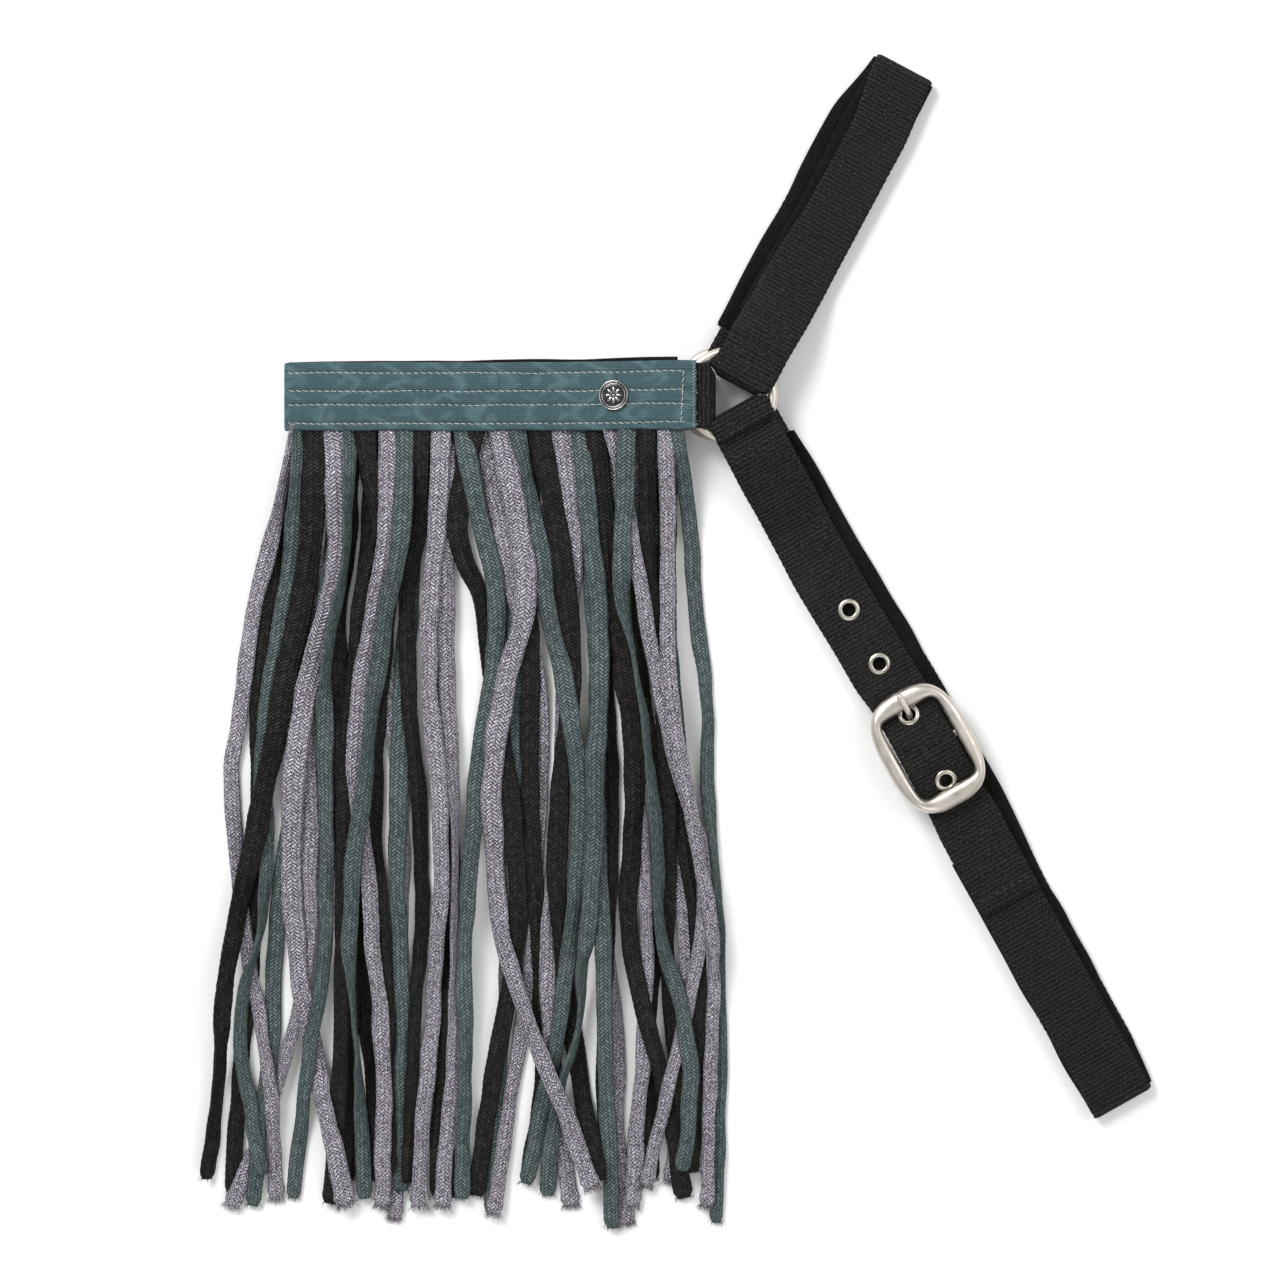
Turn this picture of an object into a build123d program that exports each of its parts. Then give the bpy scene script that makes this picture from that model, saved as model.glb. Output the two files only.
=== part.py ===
"""Fly mask: a fringed browband, a poll strap and a buckled throat strap on two steel rings.

The mask is folded in half and laid flat. Millimetres, +Z up, floor at z = 0, origin at the middle of the
straps' outline on the floor. The front half lies on the back half, and both halves share one outline.
"""
import os
from math import atan2, cos, radians, sin, tan

from build123d import *

os.makedirs("parts", exist_ok=True)

# ---- driving dimensions ---------------------------------------------------------------------------------
RING_X = 4.04             # centre of both rings
RING_Y = 75.91
RING_WIRE = 4.0           # wire diameter
RING_OUTER = 39.0         # outside diameter
BACK_RING_Z = 3.9         # height of each ring's middle plane
FRONT_RING_Z = 12.1

WEB = 1.6                 # webbing thickness
WEB_WIDTH = 25.0
LINING = 1.1              # soft lining thickness
CLOTH = 1.2               # browband cover thickness
BAND_LINING = 1.5
BAND_WIDTH = 27.5
LINING_INSET = 0.3        # a lining is narrower than its strap by this much on each side

POLL_ANGLE = 62.0         # directions of the two straps from the ring, in the floor plane
THROAT_ANGLE = -60.6
POLL_LENGTH = 151.0       # ring centre to the fold of each strap
THROAT_LENGTH = 327.0
BAND_LENGTH = 179.5       # ring centre to the fold of the browband
BAND_END = 13.4           # ring centre to the sewn end of the browband cover

LOOP_START = 7.4          # a webbing loop's inner edge, from the ring centre
LOOP_END = 23.4
LOOP_WIDTH = 20.6
LOOP_HEIGHT = 7.8
TAB_START = 6.0           # the browband's own loop
TAB_WIDTH = 24.0
STRAP_START = 24.0        # where the straps leave their loops
EYELET_STRAP_START = 18.2
LINING_START = 4.0        # a lining starts this far down the ramp of its strap
COVER_BEND = 40.0         # bend radii where the front half comes down from the ring
STRAP_BEND = 20.0

BACK_WEB_Z = 0.8          # middle heights of the layers, where the straps lie flat
BACK_LINING_Z = 2.2
FRONT_LINING_Z = 4.2
FRONT_WEB_Z = 5.6
COVER_LOW_Z = 6.0
EYELET_LOW_Z = 4.9
OVER_BAR_Z = 12.4         # over the buckle's centre bar
TIP_WEB_Z = 7.5           # the eyelet strap's free end, on top of the buckle strap
BAND_RAMP = (26.0, 72.0)  # the front half comes down from the ring to lie flat between these distances
POLL_RAMP = (28.0, 56.0)
EYELET_RAMP = (25.0, 58.0)

BUCKLE_S = 162.7          # centre bar, from the ring centre along the throat strap
BUCKLE_Z = 7.8
BUCKLE_LENGTH = 51.8      # along the strap, over the bowed end bars
BUCKLE_WIDTH = 37.7
BUCKLE_THICK = 3.8
BUCKLE_BASE_Z = 10.6      # underside of the end bars
WINDOW_LENGTH = 36.0
WINDOW_WIDTH = 25.8
WINDOW_CORNER = 2.2
FRAME_CORNER = 7.0
FRAME_ROUND = 1.5
END_BOW = 4.9             # how far the end bars and side bars bow outwards
SIDE_BOW = 2.9
LUG_LENGTH = 5.0          # a lug at each side of the frame holds the centre bar
LUG_WIDTH = 4.4
LUG_INSET = 0.2           # from the window's edge to a lug
CENTRE_BAR = 3.0
TONGUE_WIRE = 2.4
TONGUE_HUB_WALL = 1.35
TONGUE_HUB_WIDTH = 3.4
HUB_PLAY = 0.08
TONGUE_ROUTE = ((160.3, 7.6), (151.5, 6.6), (148.4, 8.0), (146.5, 16.7), (138.2, 16.7))
TONGUE_BENDS = (4.0, 2.4, 2.4)
TONGUE_SLOT = (158.0, 166.4)
TONGUE_SLOT_WIDTH = 5.0

EYELETS = (98.7, 123.7, 147.3, 177.3)     # from the ring centre
EYELET_BORE = 5.2
EYELET_OUTER = 9.0
EYELET_FLANGE = 0.45
EYELET_BARREL = 0.4
HOLE_PLAY = 0.05
TIP = 233.0               # free end of the eyelet strap
HUMP = (141.0, 157.0, 168.5, 184.5)      # the strap climbs over the centre bar between these distances
FLAT_END = 130.5
EYELET_BENDS = (20, 20, 8, 6, 6, 6, 6)
TAIL_START = 206.0        # sewn end of the buckle strap's loop round the centre bar
TAIL_RAMP = (181.0, 166.0)
FOLLOW_RAMP = (165.5, 180.5)
TAIL_BENDS = (10, 10)
FOLLOW_BENDS = (5, 5)

BADGE_S = 46.0            # badge centre, from the ring centre along the browband
BADGE_DIAMETER = 12.2
BADGE_HEIGHT = 1.8
BADGE_RIM = 1.3
BADGE_RECESS = 0.7
ENAMEL = 0.4

STRAND_WIDTH = 8.0        # a strand is a flat braid
STRAND_THICK = 1.6
STRAND_PITCH = 1.9        # from one layer of strands to the next
STRAND_REACH = 0.45       # share of the shorter run that a bend takes


# ---- helpers --------------------------------------------------------------------------------------------
def along(angle):
    """Unit vector from the ring centre along a strap."""
    return Vector(cos(radians(angle)), sin(radians(angle)), 0)


def side_plane(angle):
    """Upright plane through the ring axis: x runs along the strap, y is the height above the floor."""
    return Plane(origin=(RING_X, RING_Y, 0), x_dir=along(angle), z_dir=along(angle - 90))


def surface_plane(angle, s, z, slope):
    """Plane lying on a strap at distance s and height z, where the strap climbs by slope."""
    out = along(angle)
    return Plane(
        origin=Vector(RING_X, RING_Y, z) + out * s,
        x_dir=out + Vector(0, 0, slope),
        z_dir=Vector(0, 0, 1) - out * slope,
    )


def strip(angle, points, bends, width, thickness):
    """A flat strip of material that follows points (distance from the ring, height)."""
    side = side_plane(angle)
    with BuildPart() as piece:
        with BuildLine(side) as route:
            FilletPolyline(*points, radius=bends)
        with BuildSketch(Plane(route.line @ 0, x_dir=side.z_dir, z_dir=route.line % 0)):
            Rectangle(width, thickness)
        sweep(path=route.line)
    return piece


def loop(angle, z, start, width):
    """A sewn loop of webbing, flattened round the ring wire."""
    with BuildPart() as piece:
        with BuildSketch(side_plane(angle)):
            with Locations(((start + LOOP_END) / 2, z)):
                length = LOOP_END - start
                RectangleRounded(length, LOOP_HEIGHT, LOOP_HEIGHT / 2 - 0.1)
                inner = LOOP_HEIGHT - 2 * WEB
                RectangleRounded(length - 2 * WEB, inner, inner / 2 - 0.1, mode=Mode.SUBTRACT)
        extrude(amount=width / 2, both=True)
    return piece


def ring(z):
    with BuildPart(Plane((RING_X, RING_Y, z))) as piece:
        Torus((RING_OUTER - RING_WIRE) / 2, RING_WIRE / 2)
    return piece


def bend_radii(points):
    """Each bend takes the same share of the shorter of its two runs."""
    radii = []
    for a, b, c in zip(points, points[1:], points[2:]):
        before = Vector(*b) - Vector(*a)
        after = Vector(*c) - Vector(*b)
        half_turn = radians(before.get_angle(after)) / 2
        radii.append(STRAND_REACH * min(before.length, after.length) / tan(half_turn))
    return radii


def strand(level, points):
    """A flat strand of the fringe, lying in its own layer."""
    radii = bend_radii(points)
    z = STRAND_THICK / 2 + level * STRAND_PITCH
    with BuildPart() as piece:
        with BuildLine(Plane.XY.offset(z)) as route:
            FilletPolyline(*points, radius=radii)
        first = Plane(route.line @ 0, x_dir=Vector(0, 0, 1), z_dir=route.line % 0)
        with BuildSketch(first):
            Rectangle(STRAND_THICK, STRAND_WIDTH)
        sweep(path=route.line)
    length = route.wire().length
    ratio = piece.part.volume / (STRAND_WIDTH * STRAND_THICK * length)
    bends = " ".join(f"{radius:.0f}" for radius in radii)
    print(f"  length {length:.0f}, volume {ratio:.3f} of expected, radii {bends}")
    return piece


def save(name, piece):
    piece.part.label = name
    export_step(piece.part, f"parts/{name}.step")


def parallel(s, z, slope, depth):
    """The point a given depth under a sloping layer, square to it."""
    tilt = atan2(slope, 1)
    return (s + depth * sin(tilt), z - depth * cos(tilt))


# ---- rings and the loops round them ---------------------------------------------------------------------
save("ring_front", ring(FRONT_RING_Z))
save("ring_back", ring(BACK_RING_Z))
for side_name, ring_z in (("front", FRONT_RING_Z), ("back", BACK_RING_Z)):
    save(f"band_tab_{side_name}", loop(180, ring_z, TAB_START, TAB_WIDTH))
    save(f"poll_loop_{side_name}", loop(POLL_ANGLE, ring_z, LOOP_START, LOOP_WIDTH))
    save(f"throat_loop_{side_name}", loop(THROAT_ANGLE, ring_z, LOOP_START, LOOP_WIDTH))

LOOP_TOP = FRONT_RING_Z + LOOP_HEIGHT / 2

# ---- browband -------------------------------------------------------------------------------------------
COVER_TOP_Z = LOOP_TOP + 0.1 + CLOTH / 2
COVER_BACK_Z = CLOTH / 2
COVER_SLOPE = (COVER_LOW_Z - COVER_TOP_Z) / (BAND_RAMP[1] - BAND_RAMP[0])
COVER_FOLD = BAND_LENGTH - CLOTH / 2
COVER_RADIUS = (COVER_LOW_Z - COVER_BACK_Z) / 2 - HOLE_PLAY
UNDER = 1.4               # from the middle of a cover to the middle of its lining
cover_points = [
    (BAND_END, COVER_TOP_Z), (BAND_RAMP[0], COVER_TOP_Z), (BAND_RAMP[1], COVER_LOW_Z),
    (COVER_FOLD, COVER_LOW_Z), (COVER_FOLD, COVER_BACK_Z), (STRAP_START, COVER_BACK_Z),
]
cover_bends = [COVER_BEND, COVER_BEND, COVER_RADIUS, COVER_RADIUS]
save("browband_cover", strip(180, cover_points, cover_bends, BAND_WIDTH, CLOTH))

LINING_FOLD = COVER_FOLD - UNDER
lining_start = parallel(BAND_RAMP[0] + LINING_START, COVER_TOP_Z + LINING_START * COVER_SLOPE,
                        COVER_SLOPE, UNDER)
lining_foot = (BAND_RAMP[1] + UNDER * tan(atan2(COVER_SLOPE, 1) / 2), COVER_LOW_Z - UNDER)
lining_points = [lining_start, lining_foot, (LINING_FOLD, COVER_LOW_Z - UNDER),
                 (LINING_FOLD, COVER_BACK_Z + UNDER), (STRAP_START, COVER_BACK_Z + UNDER)]
lining_radius = COVER_RADIUS - UNDER
save("browband_lining", strip(180, lining_points, [COVER_BEND + UNDER, lining_radius, lining_radius],
                              BAND_WIDTH - 2 * LINING_INSET, BAND_LINING))

badge_z = COVER_TOP_Z + (BADGE_S - BAND_RAMP[0]) * COVER_SLOPE
badge_plane = surface_plane(180, BADGE_S, badge_z, COVER_SLOPE).offset(CLOTH / 2 + 0.02)
with BuildPart(badge_plane) as badge_rim:
    Cylinder(BADGE_DIAMETER / 2, BADGE_HEIGHT, align=(Align.CENTER, Align.CENTER, Align.MIN))
    fillet(badge_rim.edges().filter_by(GeomType.CIRCLE).sort_by(Axis.Z)[-1], 0.5)
    with Locations((0, 0, BADGE_HEIGHT)):
        Cylinder(BADGE_DIAMETER / 2 - BADGE_RIM, 2 * BADGE_RECESS, mode=Mode.SUBTRACT)
save("badge_rim", badge_rim)
with BuildPart(badge_plane.offset(BADGE_HEIGHT - BADGE_RECESS + HOLE_PLAY)) as badge_enamel:
    Cylinder(BADGE_DIAMETER / 2 - BADGE_RIM - HOLE_PLAY, ENAMEL,
             align=(Align.CENTER, Align.CENTER, Align.MIN))
save("badge_enamel", badge_enamel)

# ---- poll strap -----------------------------------------------------------------------------------------
STRAP_TOP_Z = LOOP_TOP - WEB / 2
POLL_SLOPE = (FRONT_WEB_Z - STRAP_TOP_Z) / (POLL_RAMP[1] - POLL_RAMP[0])
POLL_FOLD = POLL_LENGTH - WEB / 2
FOLD_RADIUS = (FRONT_WEB_Z - BACK_WEB_Z) / 2 - HOLE_PLAY
LINING_FOLD_RADIUS = (FRONT_LINING_Z - BACK_LINING_Z) / 2 - HOLE_PLAY
poll_points = [
    (STRAP_START, STRAP_TOP_Z), (POLL_RAMP[0], STRAP_TOP_Z), (POLL_RAMP[1], FRONT_WEB_Z),
    (POLL_FOLD, FRONT_WEB_Z), (POLL_FOLD, BACK_WEB_Z), (STRAP_START, BACK_WEB_Z),
]
poll_bends = [STRAP_BEND, STRAP_BEND, FOLD_RADIUS, FOLD_RADIUS]
save("poll_webbing", strip(POLL_ANGLE, poll_points, poll_bends, WEB_WIDTH, WEB))

poll_lining_fold = POLL_FOLD - UNDER
poll_lining_points = [
    parallel(POLL_RAMP[0] + LINING_START, STRAP_TOP_Z + LINING_START * POLL_SLOPE, POLL_SLOPE, UNDER),
    (POLL_RAMP[1] + UNDER * tan(atan2(POLL_SLOPE, 1) / 2), FRONT_LINING_Z),
    (poll_lining_fold, FRONT_LINING_Z),
    (poll_lining_fold, BACK_LINING_Z),
    (STRAP_START, BACK_LINING_Z),
]
poll_lining_bends = [STRAP_BEND + UNDER, LINING_FOLD_RADIUS, LINING_FOLD_RADIUS]
save("poll_lining", strip(POLL_ANGLE, poll_lining_points, poll_lining_bends,
                          WEB_WIDTH - 2 * LINING_INSET, LINING))

# ---- throat strap: the eyelet strap from the ring through the buckle -------------------------------------
EYELET_TOP_Z = LOOP_TOP + 0.1 + WEB / 2
HUMP_SLOPE = (OVER_BAR_Z - TIP_WEB_Z) / (HUMP[1] - HUMP[0])
eyelet_points = [
    (EYELET_STRAP_START, EYELET_TOP_Z), (EYELET_RAMP[0], EYELET_TOP_Z), (EYELET_RAMP[1], EYELET_LOW_Z),
    (FLAT_END, EYELET_LOW_Z), (HUMP[0], TIP_WEB_Z), (HUMP[1], OVER_BAR_Z),
    (HUMP[2], OVER_BAR_Z), (HUMP[3], TIP_WEB_Z), (TIP, TIP_WEB_Z),
]


def eyelet_plane(s):
    """Plane in the middle of the eyelet strap's thickness at distance s."""
    if s < HUMP[0]:
        return surface_plane(THROAT_ANGLE, s, EYELET_LOW_Z, 0)
    if s < HUMP[2]:
        return surface_plane(THROAT_ANGLE, s, TIP_WEB_Z + (s - HUMP[0]) * HUMP_SLOPE, HUMP_SLOPE)
    return surface_plane(THROAT_ANGLE, s, OVER_BAR_Z - (s - HUMP[2]) * HUMP_SLOPE, -HUMP_SLOPE)


eyelet_strap = strip(THROAT_ANGLE, eyelet_points, EYELET_BENDS, WEB_WIDTH, WEB)
with eyelet_strap:
    with Locations(*[eyelet_plane(s) for s in EYELETS]):
        Cylinder(EYELET_BORE / 2 + EYELET_BARREL + HOLE_PLAY, 4 * WEB, mode=Mode.SUBTRACT)
save("eyelet_strap", eyelet_strap)

with BuildPart() as eyelets:
    with Locations(*[eyelet_plane(s) for s in EYELETS]):
        Cylinder(EYELET_BORE / 2 + EYELET_BARREL, WEB + 2 * HOLE_PLAY)
        for lift in (1, -1):
            with Locations((0, 0, lift * (WEB / 2 + HOLE_PLAY + EYELET_FLANGE / 2))):
                Cylinder(EYELET_OUTER / 2, EYELET_FLANGE)
        Cylinder(EYELET_BORE / 2, 4 * WEB, mode=Mode.SUBTRACT)
save("eyelets", eyelets)

# ---- throat strap: the buckle strap, from its loop round the centre bar to the fold and back ---------------
BAR_LAYER = CENTRE_BAR / 2 + 0.2 + WEB / 2
BAR_LOOP_S = BUCKLE_S - BAR_LAYER
TAIL_Z = FRONT_WEB_Z - WEB - HOLE_PLAY
THROAT_FOLD = THROAT_LENGTH - WEB / 2
buckle_strap_points = [
    (TAIL_START, TAIL_Z), (TAIL_RAMP[0], TAIL_Z), (TAIL_RAMP[1], BUCKLE_Z - BAR_LAYER),
    (BAR_LOOP_S, BUCKLE_Z - BAR_LAYER), (BAR_LOOP_S, BUCKLE_Z + BAR_LAYER),
    (FOLLOW_RAMP[0], BUCKLE_Z + BAR_LAYER), (FOLLOW_RAMP[1], FRONT_WEB_Z), (THROAT_FOLD, FRONT_WEB_Z),
    (THROAT_FOLD, BACK_WEB_Z), (STRAP_START, BACK_WEB_Z),
]
bar_radius = BAR_LAYER - HOLE_PLAY
buckle_strap_bends = [*TAIL_BENDS, bar_radius, bar_radius, *FOLLOW_BENDS, FOLD_RADIUS, FOLD_RADIUS]
buckle_strap = strip(THROAT_ANGLE, buckle_strap_points, buckle_strap_bends, WEB_WIDTH, WEB)
with buckle_strap:
    slot_middle = sum(TONGUE_SLOT) / 2
    with Locations(surface_plane(THROAT_ANGLE, slot_middle, BUCKLE_Z, 0)):
        Box(TONGUE_SLOT[1] - TONGUE_SLOT[0], TONGUE_SLOT_WIDTH, 2 * BAR_LAYER + 2 * WEB,
            mode=Mode.SUBTRACT)
save("buckle_strap", buckle_strap)

throat_lining_fold = THROAT_FOLD - UNDER
throat_lining_points = [
    (TAIL_START + WEB, FRONT_LINING_Z), (throat_lining_fold, FRONT_LINING_Z),
    (throat_lining_fold, BACK_LINING_Z), (STRAP_START, BACK_LINING_Z),
]
throat_lining_bends = [LINING_FOLD_RADIUS, LINING_FOLD_RADIUS]
save("throat_lining", strip(THROAT_ANGLE, throat_lining_points, throat_lining_bends,
                            WEB_WIDTH - 2 * LINING_INSET, LINING))

# ---- buckle ---------------------------------------------------------------------------------------------
LENGTH = BUCKLE_LENGTH / 2
WIDTH = BUCKLE_WIDTH / 2
CORNER_X = LENGTH - END_BOW              # where the bowed end bars meet the bowed side bars
CORNER_Y = WIDTH - SIDE_BOW
with BuildPart(surface_plane(THROAT_ANGLE, BUCKLE_S, 0, 0)) as buckle_frame:
    with BuildSketch(surface_plane(THROAT_ANGLE, BUCKLE_S, BUCKLE_BASE_Z, 0)):
        with BuildLine():
            ThreePointArc((-CORNER_X, CORNER_Y), (0, WIDTH), (CORNER_X, CORNER_Y))
            ThreePointArc((CORNER_X, CORNER_Y), (LENGTH, 0), (CORNER_X, -CORNER_Y))
            ThreePointArc((CORNER_X, -CORNER_Y), (0, -WIDTH), (-CORNER_X, -CORNER_Y))
            ThreePointArc((-CORNER_X, -CORNER_Y), (-LENGTH, 0), (-CORNER_X, CORNER_Y))
        outline = make_face()
        fillet(outline.vertices(), FRAME_CORNER)
        RectangleRounded(WINDOW_LENGTH, WINDOW_WIDTH, WINDOW_CORNER, mode=Mode.SUBTRACT)
    extrude(amount=BUCKLE_THICK)
    fillet(buckle_frame.faces().sort_by(Axis.Z)[-1].edges(), FRAME_ROUND)
    for hand in (1, -1):
        lug_middle = (WINDOW_WIDTH + LUG_WIDTH) / 2 + LUG_INSET
        with Locations((0, hand * lug_middle, (BUCKLE_Z + BUCKLE_BASE_Z) / 2)):
            Box(LUG_LENGTH, LUG_WIDTH, BUCKLE_BASE_Z - BUCKLE_Z + CENTRE_BAR + 1.0)
    with Locations(Location((0, 0, BUCKLE_Z), (90, 0, 0))):
        Cylinder(CENTRE_BAR / 2, WINDOW_WIDTH + 2)
save("buckle_frame", buckle_frame)

tongue_side = side_plane(THROAT_ANGLE)
with BuildPart() as buckle_tongue:
    with BuildLine(tongue_side) as tongue_route:
        FilletPolyline(*TONGUE_ROUTE, radius=TONGUE_BENDS)
    with BuildSketch(Plane(tongue_route.line @ 0, z_dir=tongue_route.line % 0)):
        Circle(TONGUE_WIRE / 2)
    sweep(path=tongue_route.line)
    with BuildSketch(tongue_side):
        with Locations((BUCKLE_S, BUCKLE_Z)):
            Circle(CENTRE_BAR / 2 + TONGUE_HUB_WALL)
    extrude(amount=TONGUE_HUB_WIDTH / 2, both=True)
    with BuildSketch(tongue_side):
        with Locations((BUCKLE_S, BUCKLE_Z)):
            Circle(CENTRE_BAR / 2 + HUB_PLAY)
    extrude(amount=TONGUE_HUB_WIDTH, both=True, mode=Mode.SUBTRACT)
save("buckle_tongue", buckle_tongue)

# ---- fringe ---------------------------------------------------------------------------------------------
# Each route runs from the browband's lower seam to the strand's cut end. The number before a route is its
# layer, counted from the floor: strands that cross lie in different layers.
STRANDS = {
    "strand_01_grey": (4, [(-172, 61), (-180, 28), (-188, -7), (-192, -42), (-198, -77),
        (-195, -112), (-191, -147), (-184, -182), (-179, -217), (-179, -248)]),
    "strand_02_teal": (6, [(-169, 61), (-170, 29), (-175, -4), (-181, -38), (-185, -72),
        (-182, -106), (-184, -140), (-195, -174), (-190, -208), (-184, -238)]),
    "strand_03_black": (5, [(-164, 61), (-162, 29), (-168, -5), (-175, -39), (-181, -73),
        (-188, -107), (-196, -141), (-200, -175), (-202, -209), (-207, -240)]),
    "strand_04_grey": (4, [(-156, 61), (-152, 28), (-156, -8), (-167, -43), (-172, -78),
        (-173, -113), (-171, -148), (-165, -183), (-157, -218), (-150, -250)]),
    "strand_05_teal": (6, [(-150, 61), (-147, 28), (-151, -7), (-158, -42), (-159, -77),
        (-158, -112), (-158, -147), (-164, -182), (-169, -217), (-172, -248)]),
    "strand_06_black": (5, [(-143, 61), (-138, 28), (-144, -8), (-146, -43), (-150, -78),
        (-150, -113), (-152, -148), (-152, -183), (-154, -218), (-157, -250)]),
    "strand_07_grey": (4, [(-134, 61), (-132, 27), (-138, -8), (-145, -43), (-147, -78),
        (-141, -114), (-139, -149), (-135, -184), (-135, -219), (-136, -251)]),
    "strand_08_teal": (6, [(-127, 61), (-126, 28), (-133, -7), (-139, -42), (-142, -77),
        (-147, -112), (-149, -147), (-146, -182), (-144, -217), (-143, -248)]),
    "strand_09_black": (5, [(-120, 61), (-120, 28), (-125, -6), (-126, -40), (-122, -74),
        (-120, -108), (-120, -142), (-123, -176), (-124, -210), (-126, -241)]),
    "strand_10_grey": (4, [(-112, 61), (-113, 27), (-117, -8), (-117, -43), (-113, -78),
        (-111, -113), (-114, -149), (-116, -184), (-120, -219), (-121, -251)]),
    "strand_11_teal": (5, [(-104, 61), (-97, 28), (-88, -7), (-92, -42), (-98, -77),
        (-100, -112), (-103, -147), (-102, -182), (-103, -217), (-104, -248)]),
    "strand_12_black": (6, [(-98, 61), (-106, 28), (-96, -7), (-91, -42), (-86, -76),
        (-81, -111), (-81, -146), (-88, -181), (-94, -215), (-98, -247)]),
    "strand_13_grey": (4, [(-89, 61), (-82, 28), (-77, -6), (-86, -40), (-91, -75),
        (-91, -109), (-88, -143), (-77, -177), (-62, -212), (-51, -243)]),
    "strand_14_teal": (6, [(-82, 61), (-74, 28), (-70, -6), (-62, -40), (-56, -74),
        (-56, -108), (-60, -143), (-64, -177), (-71, -211), (-78, -242)]),
    "strand_15_black": (7, [(-73, 61), (-66, 29), (-61, -5), (-59, -39), (-63, -73),
        (-66, -107), (-64, -141), (-60, -175), (-55, -209), (-48, -240)]),
    "strand_16_grey": (8, [(-64, 61), (-59, 27), (-56, -8), (-57, -43), (-61, -78),
        (-66, -114), (-70, -149), (-68, -184), (-64, -219), (-60, -251)]),
    "strand_17_teal": (5, [(-56, 61), (-53, 28), (-48, -7), (-48, -42), (-50, -76),
        (-50, -111), (-54, -146), (-56, -181), (-68, -215), (-69, -247)]),
    "strand_18_black": (7, [(-50, 61), (-46, 28), (-44, -7), (-37, -42), (-33, -77),
        (-36, -112), (-37, -147), (-27, -182), (-19, -217), (-14, -248)]),
    "strand_19_grey": (4, [(-44, 61), (-36, 28), (-31, -6), (-24, -41), (-17, -75),
        (-5, -109), (-7, -144), (-14, -178), (-23, -212), (-29, -243)]),
    "strand_20_teal": (6, [(-37, 61), (-38, 29), (-40, -5), (-32, -38), (-28, -72),
        (-24, -105), (-25, -139), (-14, -172), (-10, -206), (-15, -236)]),
    "strand_21_black": (5, [(-29, 61), (-29, 29), (-27, -5), (-23, -39), (-21, -72),
        (-20, -106), (-21, -140), (-20, -173), (-15, -207), (-10, -237)]),
    "strand_22_grey": (7, [(-22, 61), (-20, 27), (-21, -8), (-20, -43), (-14, -78),
        (-7, -114), (-1, -149), (-3, -184), (-4, -219), (-5, -251)]),
    "strand_23_teal": (5, [(-18, 61), (-11, 27), (-10, -9), (-4, -45), (-5, -81),
        (-1, -117), (0, -153), (1, -190), (0, -226), (-1, -258)]),
    "strand_24_black": (0, [(-175, 61), (-178, 28), (-184, -7), (-186, -41), (-186, -76),
        (-185, -111), (-188, -145), (-192, -180), (-195, -215), (-197, -246)]),
    "strand_25_grey": (1, [(-162, 61), (-161, 27), (-162, -8), (-161, -43), (-163, -78),
        (-164, -113), (-165, -149), (-173, -184), (-183, -219), (-197, -251)]),
    "strand_26_teal": (2, [(-157, 61), (-159, 27), (-162, -8), (-168, -43), (-171, -78),
        (-176, -113), (-180, -149), (-180, -184), (-186, -219), (-188, -251)]),
    "strand_27_black": (2, [(-148, 61), (-146, 28), (-147, -6), (-150, -40), (-151, -74),
        (-149, -108), (-148, -142), (-148, -176), (-149, -210), (-149, -241)]),
    "strand_28_grey": (0, [(-140, 61), (-137, 27), (-136, -9), (-133, -45), (-129, -81),
        (-126, -116), (-128, -152), (-128, -188), (-131, -224), (-131, -256)]),
    "strand_29_black": (1, [(-137, 61), (-141, 28), (-143, -6), (-143, -40), (-145, -74),
        (-144, -108), (-145, -142), (-143, -176), (-138, -210), (-140, -241)]),
    "strand_30_black": (1, [(-115, 61), (-113, 28), (-114, -7), (-114, -42), (-112, -77),
        (-111, -112), (-112, -146), (-111, -181), (-113, -216), (-114, -247)]),
    "strand_31_grey": (2, [(-110, 61), (-111, 27), (-110, -8), (-110, -43), (-107, -78),
        (-106, -114), (-107, -149), (-106, -184), (-109, -219), (-112, -251)]),
    "strand_32_black": (0, [(-101, 61), (-101, 28), (-99, -7), (-101, -42), (-104, -77),
        (-106, -112), (-107, -147), (-106, -182), (-107, -217), (-108, -248)]),
    "strand_33_grey": (1, [(-96, 61), (-89, 27), (-84, -8), (-80, -44), (-76, -79),
        (-74, -115), (-75, -150), (-81, -186), (-86, -222), (-91, -254)]),
    "strand_34_teal": (0, [(-86, 61), (-84, 27), (-83, -9), (-82, -44), (-83, -80),
        (-84, -115), (-85, -151), (-88, -187), (-90, -222), (-92, -254)]),
    "strand_35_grey": (0, [(-69, 61), (-67, 27), (-65, -9), (-62, -45), (-56, -81),
        (-52, -117), (-43, -153), (-40, -189), (-42, -225), (-37, -258)]),
    "strand_36_black": (2, [(-53, 61), (-51, 28), (-49, -7), (-46, -42), (-44, -77),
        (-44, -112), (-45, -147), (-47, -182), (-46, -217), (-43, -248)]),
    "strand_37_grey": (1, [(-46, 61), (-44, 27), (-41, -8), (-36, -43), (-33, -78),
        (-30, -114), (-29, -149), (-30, -184), (-33, -219), (-35, -251)]),
    "strand_38_black": (0, [(-40, 61), (-38, 28), (-35, -6), (-30, -40), (-23, -74),
        (-21, -108), (-24, -142), (-28, -176), (-28, -210), (-27, -241)]),
    "strand_39_teal": (1, [(-27, 61), (-25, 30), (-21, -3), (-19, -36), (-16, -68),
        (-14, -101), (-10, -134), (-8, -167), (-9, -199), (-12, -229)]),
}
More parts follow.
